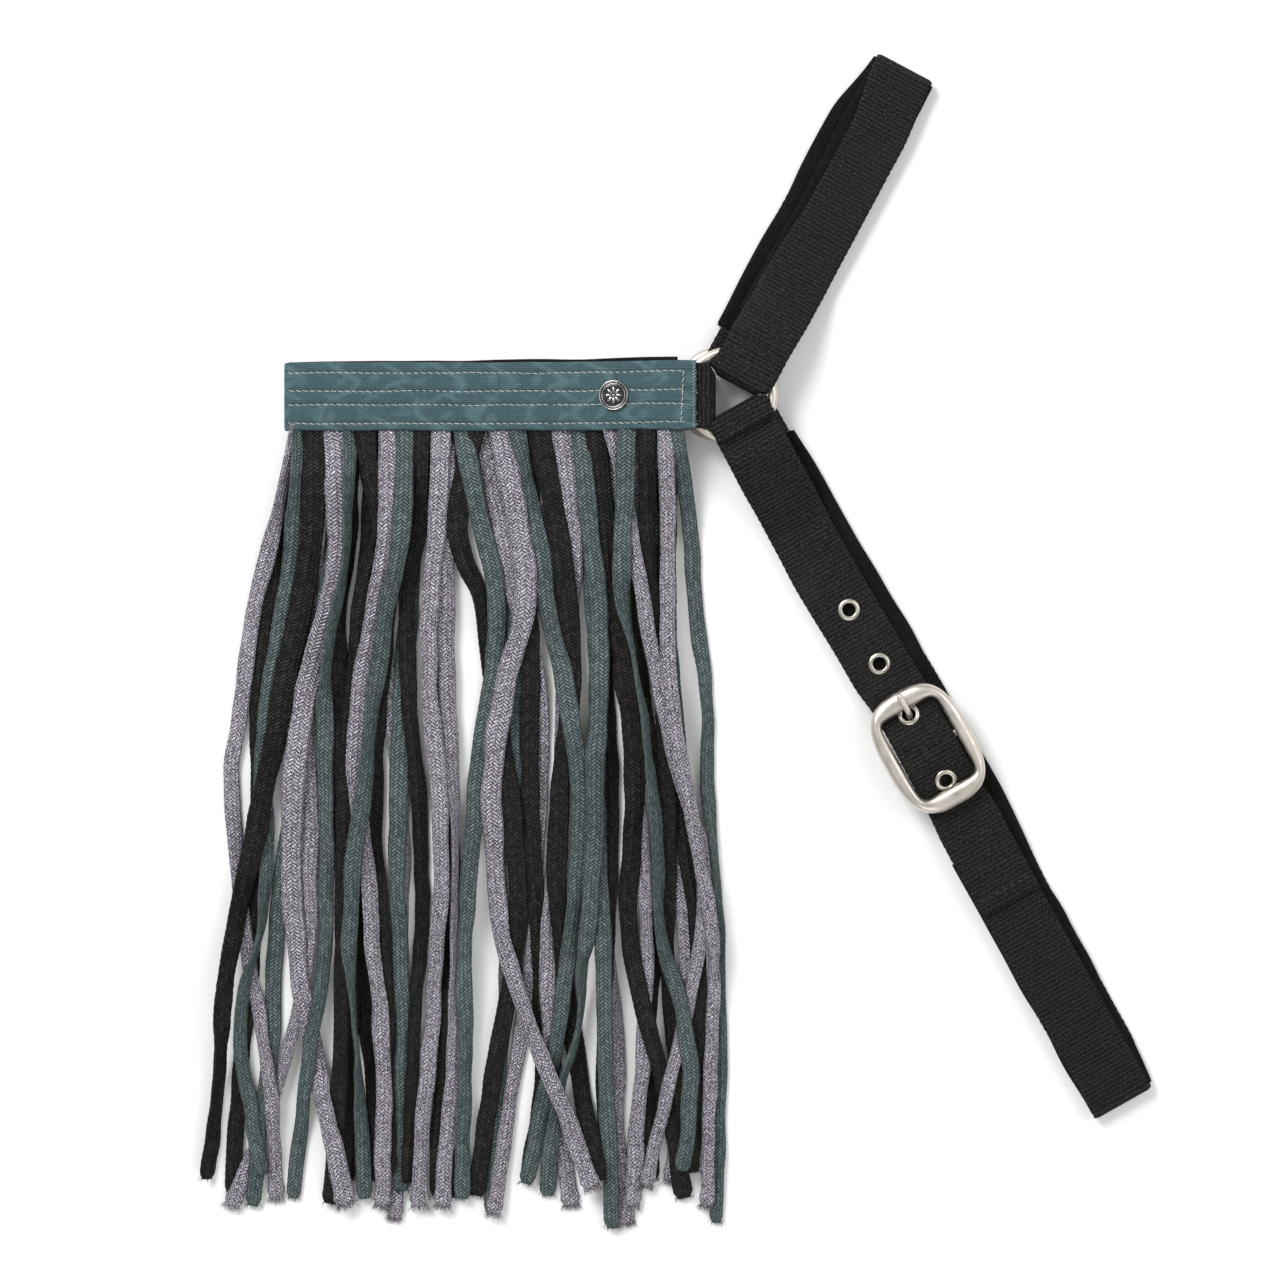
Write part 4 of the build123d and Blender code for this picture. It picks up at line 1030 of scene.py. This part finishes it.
def sew(name, lines, seed, length=2.3, gap=0.5, thread=0.44, tilt=0.14):
    """Separate thread stitches along lines of points; each stitch leans a little across its row."""
    random_source = random.Random(seed)
    verts, faces = [], []
    for line in lines:
        gaps = np.linalg.norm(np.diff(line, axis=0), axis=1)
        reach = np.concatenate([[0], np.cumsum(gaps)]) / MM
        pitch = reach[-1] / max(1, round(reach[-1] / (length + gap)))
        start = 0.0
        while start < reach[-1] - 0.6 * pitch:
            base = len(verts)
            lean_over = random_source.uniform(0.5, 1.5) * tilt * pitch
            for k in range(7):
                t = k / 6
                place = start + gap / 2 + (pitch - gap) * t
                middle = np.array([np.interp(place, reach, line[:, c]) for c in range(3)])
                ahead = np.array([np.interp(place + 0.5, reach, line[:, c]) for c in range(3)])
                behind = np.array([np.interp(place - 0.5, reach, line[:, c]) for c in range(3)])
                direction = (ahead - behind) / np.linalg.norm(ahead - behind)
                side = np.cross(direction, (0, 0, 1))
                side /= np.linalg.norm(side)
                up = np.cross(side, direction)
                bow = math.sin(math.pi * t)
                middle = middle + side * lean_over * (t - 0.5) * MM + up * thread * (0.5 * bow - 0.4) * MM
                size = thread * (0.38 + 0.14 * bow) * MM
                for corner in range(6):
                    turn = 2 * math.pi * corner / 6
                    spot = middle + side * math.cos(turn) * size + up * math.sin(turn) * size * 0.85
                    verts.append(tuple(spot))
                if k:
                    for corner in range(6):
                        a, b = base + (k - 1) * 6 + corner, base + (k - 1) * 6 + (corner + 1) % 6
                        faces.append((a, b, b + 6, a + 6))
            start += pitch
    mesh = bpy.data.meshes.new(name)
    mesh.from_pydata(verts, [], faces)
    mesh.polygons.foreach_set("use_smooth", np.ones(len(mesh.polygons), bool))
    return new_object(name, mesh)


LIGHT_THREADS, DARK_THREADS = [], []
band_lines = [surface_row(row, 18.6 - 0.35 * k, 178.2, 40 + k) for k, row in enumerate(BAND_ROWS)]
cover_top = curve_of(*[(a, band_top(18.4) + 1.0 + 0.55 * (1 - (a / 13.8) ** 2))
                       for a in (-13.8, -7, 0, 7, 13.8)])
band_lines.append(np.array([on_strap(BAND_ANGLE, 18.4 + 0.05 * (9.8 - a), a, cover_top(a))
                            for a in np.arange(9.8, -11.4, -0.5)]))
band_thread = sew("browband_stitches", band_lines, 51, thread=0.36)
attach(band_thread, "browband")
LIGHT_THREADS.append(band_thread)
end_line = np.array([on_strap(BAND_ANGLE, 14.3, a, cover_top(a) - 0.35)
                     for a in np.arange(13.0, -13.2, -0.5)])
end_thread = sew("browband_end_stitches", [end_line], 52, length=1.1, gap=0.25, thread=0.3, tilt=0.9)
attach(end_thread, "browband")
LIGHT_THREADS.append(end_thread)

random_source = random.Random(61)
verts, quads = [], []
for _ in range(90):
    across = random_source.uniform(-13.4, 13.4)
    tip = on_strap(BAND_ANGLE, 13.6, across, 16.9)
    more, faces = frayed(random_source, tip, np.array([1.0, 0.0, 0.0]), np.array([0.0, 1.0, 0.0]),
                         np.array([0.0, 0.0, 1.0]), 0.8 * MM, 0.6 * MM, 1, 1.1 * MM)
    quads += [tuple(i + len(verts) for i in face) for face in faces]
    verts += [tuple(v) for v in more]
fray_mesh = bpy.data.meshes.new("browband_frayed_edge")
fray_mesh.from_pydata(verts, [], quads)
fray = new_object("browband_frayed_edge", fray_mesh)
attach(fray, "browband")
LIGHT_THREADS.append(fray)


def strap_line(s_from, across_from, s_to, across_to, height):
    """Points of a straight seam across the throat strap, at one height."""
    return np.array([on_strap(THROAT_ANGLE, s_from + (s_to - s_from) * t,
                              across_from + (across_to - across_from) * t, height)
                     for t in np.linspace(0, 1, 40)])


throat_lines = [strap_line(23.2, -11.0, 23.0, 11.4, 17.8), strap_line(227.5, -11.2, 227.3, 12.3, 8.42)]
throat_thread = sew("throat_strap_stitches", throat_lines, 53, length=2.6, gap=0.7, thread=0.42)
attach(throat_thread, "throat_strap")
DARK_THREADS.append(throat_thread)


# ---- metal -------------------------------------------------------------------------------------------
def axes(normal, forward):
    """Three unit vectors: forward, sideways and normal."""
    normal = np.array(normal, float) / np.linalg.norm(normal)
    forward = np.array(forward, float) - normal * (np.array(forward, float) @ normal)
    forward /= np.linalg.norm(forward)
    return forward, np.cross(normal, forward), normal


def shell(name, rings, closed_profile=False):
    """A surface through closed rings of points; the first and last rings are joined or capped."""
    rings = np.asarray(rings)
    count, corners = rings.shape[:2]
    last = count if closed_profile else count - 1
    i = np.arange(last)[:, None]
    j = np.arange(corners)[None, :]
    k, nxt = (j + 1) % corners, (i + 1) % count
    quads = np.stack([i * corners + j, i * corners + k, nxt * corners + k, nxt * corners + j], -1)
    faces = quads.reshape(-1, 4).tolist()
    if not closed_profile:
        faces += [list(range(corners))[::-1], list(range((count - 1) * corners, count * corners))]
    mesh = bpy.data.meshes.new(name)
    mesh.from_pydata(rings.reshape(-1, 3).tolist(), [], faces)
    mesh.polygons.foreach_set("use_smooth", np.ones(len(mesh.polygons), bool))
    return new_object(name, mesh)


def lathe(name, profile, centre, frame_axes, corners=96, closed_profile=False):
    """A turned part from (radius, height) points in mm."""
    forward, side, normal = frame_axes
    angle = np.linspace(0, 2 * math.pi, corners, endpoint=False)
    rings = []
    for radius, height in profile:
        ring = (np.cos(angle)[:, None] * forward + np.sin(angle)[:, None] * side) * radius * MM
        rings.append(np.array(centre) + ring + normal * height * MM)
    return shell(name, rings, closed_profile)


def join(name, pieces):
    """Several meshes as one piece."""
    verts, faces = [], []
    for piece in pieces:
        base = len(verts)
        verts += [tuple(v.co) for v in piece.data.vertices]
        faces += [tuple(i + base for i in p.vertices) for p in piece.data.polygons]
        bpy.data.objects.remove(piece)
    mesh = bpy.data.meshes.new(name)
    mesh.from_pydata(verts, [], faces)
    mesh.polygons.foreach_set("use_smooth", np.ones(len(mesh.polygons), bool))
    return new_object(name, mesh)


def wire_ring(name, centre, node, body, weld_turn):
    """A welded ring of round wire, very slightly uneven, with a low weld bead."""
    big, small = 17.5 * MM, 2.0 * MM
    turns = np.linspace(0, 2 * math.pi, 180, endpoint=False)
    around = np.linspace(0, 2 * math.pi, 36, endpoint=False)
    rings = []
    for turn in turns:
        apart = abs((turn - weld_turn + math.pi) % (2 * math.pi) - math.pi)
        weld = 0.05 * math.exp(-((apart / 0.05) ** 2))
        groove = 0.03 * math.exp(-(((apart - 0.11) / 0.03) ** 2))
        bead = 1 + weld - groove
        uneven = 1 + 0.006 * math.sin(3 * turn + weld_turn) + 0.004 * math.sin(7 * turn)
        out = np.array([math.cos(turn), math.sin(turn), 0])
        flat = out * np.cos(around)[:, None] + np.array([0, 0, 1]) * np.sin(around)[:, None]
        middle = np.array(centre) + out * big * (1 + 0.002 * math.sin(2 * turn))
        rings.append(middle + flat * small * bead * uneven)
    piece = shell(name, rings, closed_profile=True)
    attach(piece, body)
    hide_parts(node)
    return piece


NICKEL_PIECES = [wire_ring("front_ring_wire", RING, "ring_front", "front_ring", 2.9),
                 wire_ring("back_ring_wire", BACK_RING + Vector((-2.4, 1.0, 0)) * MM,
                           "ring_back", "back_ring", 0.4)]

# Eyelets: rolled flanges on both faces of the strap and a barrel between them.
half_web = WEB_THICK / MM / 2
roll = [(2.6, half_web + 0.05), (2.75, half_web + 0.42), (3.15, half_web + 0.66), (3.6, half_web + 0.64),
        (4.1, half_web + 0.42), (4.42, half_web + 0.16), (4.5, half_web + 0.02)]
eyelet_profile = roll + [(4.3, half_web - 0.04), (3.2, half_web - 0.02), (3.02, 0.0), (3.2, -half_web + 0.02),
                         (4.3, -half_web + 0.04)] + [(r, -h) for r, h in roll[::-1]] + [(2.58, 0.0)]
out, right = heading(THROAT_ANGLE)
parts = []
for s, z, slope in EYELETS:
    tilt = axes(np.array([0, 0, 1.0]) - out * slope, out + np.array([0, 0, slope]))
    place = on_strap(THROAT_ANGLE, s, 0, z)
    parts.append(lathe("eyelet", eyelet_profile, place, tilt, 72, closed_profile=True))
eyelet_metal = join("eyelet_set", parts)
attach(eyelet_metal, "throat_strap")
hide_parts("eyelets")


# The buckle: a domed cast frame, two lugs under it and the centre bar.
def buckle_outline(turn, half_length, half_width, power):
    c, s = abs(math.cos(turn)), abs(math.sin(turn))
    reach = ((c / half_length) ** power + (s / half_width) ** power) ** (-1 / power)
    return reach * math.cos(turn), reach * math.sin(turn)


def buckle_place(x, y, z):
    """x along the strap from the centre bar, y to its right, z height, in mm."""
    return on_strap(THROAT_ANGLE, BUCKLE_S + x, y, z)


rings = []
for turn in np.linspace(0, 2 * math.pi, 288, endpoint=False):
    outer = np.array(buckle_outline(turn, 25.9, 18.85, 2.9))
    inner = np.array(buckle_outline(turn, 18.0, 12.9, 9.0))
    middle, reach = (outer + inner) / 2, (outer - inner) / 2
    section = []
    for corner in range(40):
        angle = 2 * math.pi * corner / 40
        flat = math.copysign(abs(math.cos(angle)) ** 0.8, math.cos(angle))
        dome = math.copysign(abs(math.sin(angle)) ** (0.85 if math.sin(angle) > 0 else 0.5), math.sin(angle))
        z = 11.35 + (3.05 * dome if dome > 0 else 0.75 * dome) - 0.35 * max(0.0, flat) * (dome > 0)
        x, y = middle + reach * flat
        section.append(buckle_place(x, y, z))
    rings.append(section)
frame_piece = shell("buckle_casting", rings, closed_profile=True)
extra = []
for hand in (1, -1):
    rings = []
    for z, size in ((6.0, 0.72), (6.25, 0.92), (6.9, 1.0), (9.0, 1.0), (11.0, 1.0)):
        ring = []
        for corner in range(32):
            angle = 2 * math.pi * corner / 32
            x = 2.5 * size * math.copysign(abs(math.cos(angle)) ** 0.45, math.cos(angle))
            y = 2.2 * size * math.copysign(abs(math.sin(angle)) ** 0.45, math.sin(angle))
            ring.append(buckle_place(x, hand * 15.3 + y, z))
        rings.append(ring)
    extra.append(shell("lug", rings))
rings = []
for y in np.linspace(-13.6, 13.6, 40):
    waist = 1.5 - 0.06 * math.cos(y / 4)
    rings.append([buckle_place(waist * math.cos(a), y, BUCKLE_Z + waist * math.sin(a))
                  for a in np.linspace(0, 2 * math.pi, 28, endpoint=False)])
extra.append(shell("bar", rings))
casting = join("buckle_cast_frame", [frame_piece] + extra)
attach(casting, "buckle")
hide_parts("buckle_frame")
NICKEL_PIECES.append(casting)

# The tongue: a bent wire that comes up through the eyelet and rests on the end bar, and its eye on the bar.
tongue_route, tongue_places = resample(
    rounded([(160.3, 7.6), (151.5, 6.6), (148.4, 8.0), (146.5, 16.6), (137.6, 16.4)], (4, 2.4, 2.4)), 0.25)
tangent = np.gradient(tongue_route, axis=0)
tangent /= np.linalg.norm(tangent, axis=1, keepdims=True)
rings = []
for (s, z), (ts, tz), place in zip(tongue_route, tangent, tongue_places):
    left = tongue_places[-1] - place
    tip = math.sqrt(max(0.02, 1 - max(0.0, 1 - left / 1.4) ** 2))
    near_tip = float(smoothstep(left, 9, 2))
    wide = 1.2 * tip * (1 + 0.12 * near_tip)
    deep = 1.2 * tip * (1 - 0.2 * near_tip)
    ring = []
    for corner in range(28):
        angle = 2 * math.pi * corner / 28
        depth = deep * math.sin(angle)
        ring.append(on_strap(THROAT_ANGLE, s - tz * depth, wide * math.cos(angle), z + ts * depth))
    rings.append(ring)
wire = shell("tongue_wire", rings)
hub_profile = []
for k in range(24):
    angle = 2 * math.pi * k / 24
    bulge = 0.62 * math.copysign(abs(math.cos(angle)) ** 0.8, math.cos(angle))
    hub_profile.append((2.23 + bulge, 1.7 * math.copysign(abs(math.sin(angle)) ** 0.8, math.sin(angle))))
hub_place = on_strap(THROAT_ANGLE, BUCKLE_S, 0, BUCKLE_Z)
hub = lathe("hub", hub_profile, hub_place, axes(right, out), 48, closed_profile=True)
tongue = join("tongue_bent_wire", [wire, hub])
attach(tongue, "tongue")
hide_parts("buckle_tongue")
NICKEL_PIECES.append(tongue)

# The badge: a double rim, a raised rosette and sunk enamel.
badge_low, badge_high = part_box("badge_rim")
BADGE_SLOPE = -0.2326
badge_s = (RING.x - (badge_low.x + badge_high.x) / 2) / MM
badge_axes = axes((BADGE_SLOPE, 0, 1.0), (1.0, 0, -BADGE_SLOPE))
badge_base = on_strap(BAND_ANGLE, badge_s, 0, band_top(badge_s) + 0.9)
rim_profile = [(5.75, -0.3), (6.0, 0.1), (6.1, 0.8), (6.02, 1.3), (5.8, 1.56), (5.58, 1.5), (5.42, 1.2),
               (5.36, 0.7), (5.0, 0.66), (4.94, 1.1), (4.8, 1.38), (4.62, 1.38), (4.48, 1.1),
               (4.44, 0.5), (4.6, -0.3)]
rim = lathe("badge_rim_metal", rim_profile, badge_base, badge_axes, 128, closed_profile=True)
rosette = []
forward, side, normal = badge_axes
for petal in range(8):
    turn = math.pi / 4 * petal
    rings = []
    for k in range(15):
        t = k / 14
        reach = 0.9 + 2.5 * t
        half = 0.46 * math.sin(math.pi * (0.08 + 0.88 * t)) ** 0.8 + 0.03
        ring = []
        for corner in range(12):
            angle = 2 * math.pi * corner / 12
            across = half * math.cos(angle)
            lift = 1.0 + 0.16 * math.sin(math.pi * t) + 0.17 * math.sin(angle)
            x = reach * math.cos(turn) - across * math.sin(turn)
            y = reach * math.sin(turn) + across * math.cos(turn)
            ring.append(badge_base + (forward * x + side * y + normal * lift) * MM)
        rings.append(ring)
    rosette.append(shell("petal", rings))
rosette.append(lathe("boss", [(0.02, 1.42), (0.3, 1.38), (0.55, 1.2), (0.62, 0.95), (0.02, 0.9)], badge_base,
                     badge_axes, 32))
badge_metal = join("badge_metalwork", [rim] + rosette)
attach(badge_metal, "browband")
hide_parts("badge_rim")
enamel_profile = [(5.42, 0.5), (5.42, 0.92), (5.2, 0.96), (4.98, 0.92), (4.9, 0.8), (4.5, 0.8), (4.44, 1.0),
                  (4.1, 1.04), (3.0, 1.08), (1.5, 1.1), (0.02, 1.1)]
enamel = lathe("badge_enamel_fill", enamel_profile, badge_base, badge_axes, 96)
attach(enamel, "browband")
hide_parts("badge_enamel")


# ---- materials ---------------------------------------------------------------------------------------
def webbing_material():
    m = Nodes("webbing")
    u, v = m.uv()
    row = m.math("FLOOR", m.math("DIVIDE", v, 0.75))
    offset = m.math("MULTIPLY", m.math("PINGPONG", row, 1.0), 0.45)
    yarn_u = m.wave(m.math("MULTIPLY_ADD", offset, 0.4, u), 0.95)
    yarn_v = m.wave(v, 0.75)
    rib = m.wave(m.math("ADD", v, m.math("MULTIPLY", m.noise(220, 2.0), 0.9)), 1.75)
    weave = m.math("POWER", m.math("MULTIPLY", yarn_u, m.math("MULTIPLY_ADD", yarn_v, 0.7, 0.3)), 0.8)
    height = m.math("MULTIPLY_ADD", rib, 0.5, m.math("MULTIPLY", weave, 0.6))
    fibre = m.noise(1700, 2.0)
    worn = m.noise(45, 4.0)
    # random fibre tone plus painted highlight and shade: raised yarns lighter, grooves between them darker
    painted_weave_shade_and_fibre_tone = m.spread(m.math("MULTIPLY_ADD", m.math("SUBTRACT", fibre, 0.5), 1.3, height), 0.35, 1.05)
    color = m.mix(painted_weave_shade_and_fibre_tone, (0.0008, 0.0007, 0.0007), (0.033, 0.029, 0.026))
    color = m.mix(m.spread(fibre, 0.54, 0.68, 0.0, 0.5), color, (0.062, 0.054, 0.048))
    color = m.mix(m.spread(worn, 0.5, 0.75, 0.0, 0.2), color, (0.035, 0.031, 0.028))
    m.bump(m.math("MULTIPLY_ADD", fibre, 0.25, height), 0.45 * MM, 1.0)
    return m.set(Base_Color=color, Roughness=m.spread(fibre, 0.3, 0.7, 0.75, 0.5), Specular_IOR_Level=0.18)


def lining_material():
    m = Nodes("lining")
    fuzz = m.noise(1400, 4.0, 0.7)
    soft = m.noise(120, 3.0)
    color = m.mix(m.spread(fuzz, 0.35, 0.75), (0.002, 0.002, 0.002), (0.013, 0.012, 0.011))
    color = m.mix(m.spread(soft, 0.45, 0.8, 0.0, 0.4), color, (0.016, 0.015, 0.014))
    m.bump(m.math("MULTIPLY_ADD", soft, 0.8, fuzz), 0.35 * MM, 0.8)
    return m.set(Base_Color=color, Roughness=0.9, Specular_IOR_Level=0.1, Sheen_Weight=0.04,
                 Sheen_Roughness=0.5)


def band_material():
    m = Nodes("band_cloth")
    u, v = m.uv()
    ribs = m.wave(u, 0.85)
    stagger = m.math("MULTIPLY", m.math("FLOOR", m.math("DIVIDE", u, 0.85)), 0.41)
    picks = m.wave(m.math("ADD", v, stagger), 0.95)
    weave = m.math("MULTIPLY_ADD", ribs, 0.65, m.math("MULTIPLY", picks, 0.35))
    fine = m.noise(2600, 2.0, 0.7)
    cloud = m.noise(90, 3.0)
    waver = m.math("MULTIPLY", m.math("SUBTRACT", m.noise(55, 1.0), 0.5), 12.0)
    along, across = m.math("ADD", v, waver), m.math("ADD", u, waver)
    bow = m.math("MULTIPLY", m.math("SINE", m.math("MULTIPLY", across, 2 * math.pi / 25)), 1.25)
    stem = m.math("ABSOLUTE", m.math("SINE", m.math("ADD", m.math("MULTIPLY", along, math.pi / 21), bow)))
    along_leaf = m.math("MULTIPLY", along, 2 * math.pi / 16)
    leaf = m.math("SINE", m.math("ADD", along_leaf, m.math("MULTIPLY", bow, -2.1)))
    leaf = m.math("MULTIPLY", leaf, m.math("COSINE", m.math("MULTIPLY", across, 2 * math.pi / 15)))
    motif = m.math("MAXIMUM", m.spread(stem, 0.5, 0.08), m.spread(leaf, 0.25, 0.95, 0.0, 0.8))
    motif = m.math("MULTIPLY", motif, m.spread(cloud, 0.3, 0.6, 0.35, 1.0))
    color = m.mix(motif, (0.040, 0.084, 0.098), (0.082, 0.156, 0.172))
    color = m.mix(m.spread(cloud, 0.35, 0.7, 0.0, 0.3), color, (0.060, 0.112, 0.125))
    color = m.mix(m.spread(fine, 0.52, 0.72, 0.0, 0.5), color, (0.17, 0.26, 0.28))
    color = m.mix(m.spread(fine, 0.48, 0.3, 0.0, 0.5), color, (0.015, 0.035, 0.042))
    # painted shade: darker where the weave is low, in the grooves between ribs and picks
    color = m.mix(m.spread(weave, 0.5, 0.0, 0.0, 0.6), color, (0.014, 0.034, 0.042))
    m.bump(m.math("MULTIPLY_ADD", fine, 0.4, weave), 0.22 * MM, 0.9)
    return m.set(Base_Color=color, Roughness=m.spread(motif, 0.0, 1.0, 0.7, 0.6), Specular_IOR_Level=0.25)


def thread_material(name, dark, light):
    m = Nodes(name)
    ply = m.noise(2200, 3.0)
    color = m.mix(m.spread(ply, 0.35, 0.65), dark, light)
    m.bump(ply, 0.1 * MM, 0.8)
    return m.set(Base_Color=color, Roughness=0.6, Sheen_Weight=0.2)


def metal_material(name, color, dull, rough, scratch, coat=0.0):
    m = Nodes(name)
    cloudy = m.noise(160, 4.0, 0.6)
    grain = m.noise(1800, 2.0)
    patina = m.noise(38, 3.0)
    tone = m.mix(m.spread(patina, 0.4, 0.75, 0.0, 0.55), color, dull)
    tone = m.mix(m.spread(grain, 0.55, 0.8, 0.0, 0.25), tone, dull)
    m.bump(m.math("MULTIPLY_ADD", cloudy, 0.6, grain), scratch * MM, 0.35)
    roughness = m.spread(cloudy, 0.3, 0.7, rough * 0.8, rough * 1.35)
    return m.set(Base_Color=tone, Metallic=1.0, Roughness=roughness, Coat_Weight=coat)


def enamel_material():
    m = Nodes("badge_enamel")
    swirl = m.noise(500, 3.0)
    color = m.mix(m.spread(swirl, 0.4, 0.7), (0.006, 0.006, 0.007), (0.02, 0.018, 0.017))
    m.bump(swirl, 0.03 * MM, 0.3)
    return m.set(Base_Color=color, Roughness=m.spread(swirl, 0.3, 0.7, 0.08, 0.2), Coat_Weight=0.8)


WEBBING, LINING, BAND = webbing_material(), lining_material(), band_material()
LIGHT_THREAD = thread_material("light_thread", (0.30, 0.30, 0.27), (0.62, 0.61, 0.56))
DARK_THREAD = thread_material("dark_thread", (0.002, 0.002, 0.002), (0.012, 0.011, 0.01))
NICKEL = metal_material("nickel", (0.66, 0.61, 0.55), (0.50, 0.46, 0.41), 0.40, 0.06)
EYELET_METAL = metal_material("eyelet_metal", (0.60, 0.56, 0.50), (0.36, 0.33, 0.29), 0.3, 0.03)
BADGE_METAL = metal_material("badge_metal", (0.50, 0.48, 0.47), (0.28, 0.27, 0.26), 0.24, 0.008, 0.1)
for pieces, material, slot in ((WEB_PIECES, WEBBING, "webbing"), (LINING_PIECES, LINING, "lining"),
                               ([cover], BAND, "band_cloth"), (NICKEL_PIECES, NICKEL, "nickel"),
                               ([eyelet_metal], EYELET_METAL, "eyelet_metal"),
                               ([badge_metal], BADGE_METAL, "badge_metal"),
                               ([enamel], enamel_material(), "badge_enamel"),
                               (LIGHT_THREADS, LIGHT_THREAD, None), (DARK_THREADS, DARK_THREAD, None)):
    for piece in pieces:
        piece.data.materials.append(material)

size = {"cad": [list(corner) for corner in CAD_BOX], "visual": [list(corner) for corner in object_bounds()]}
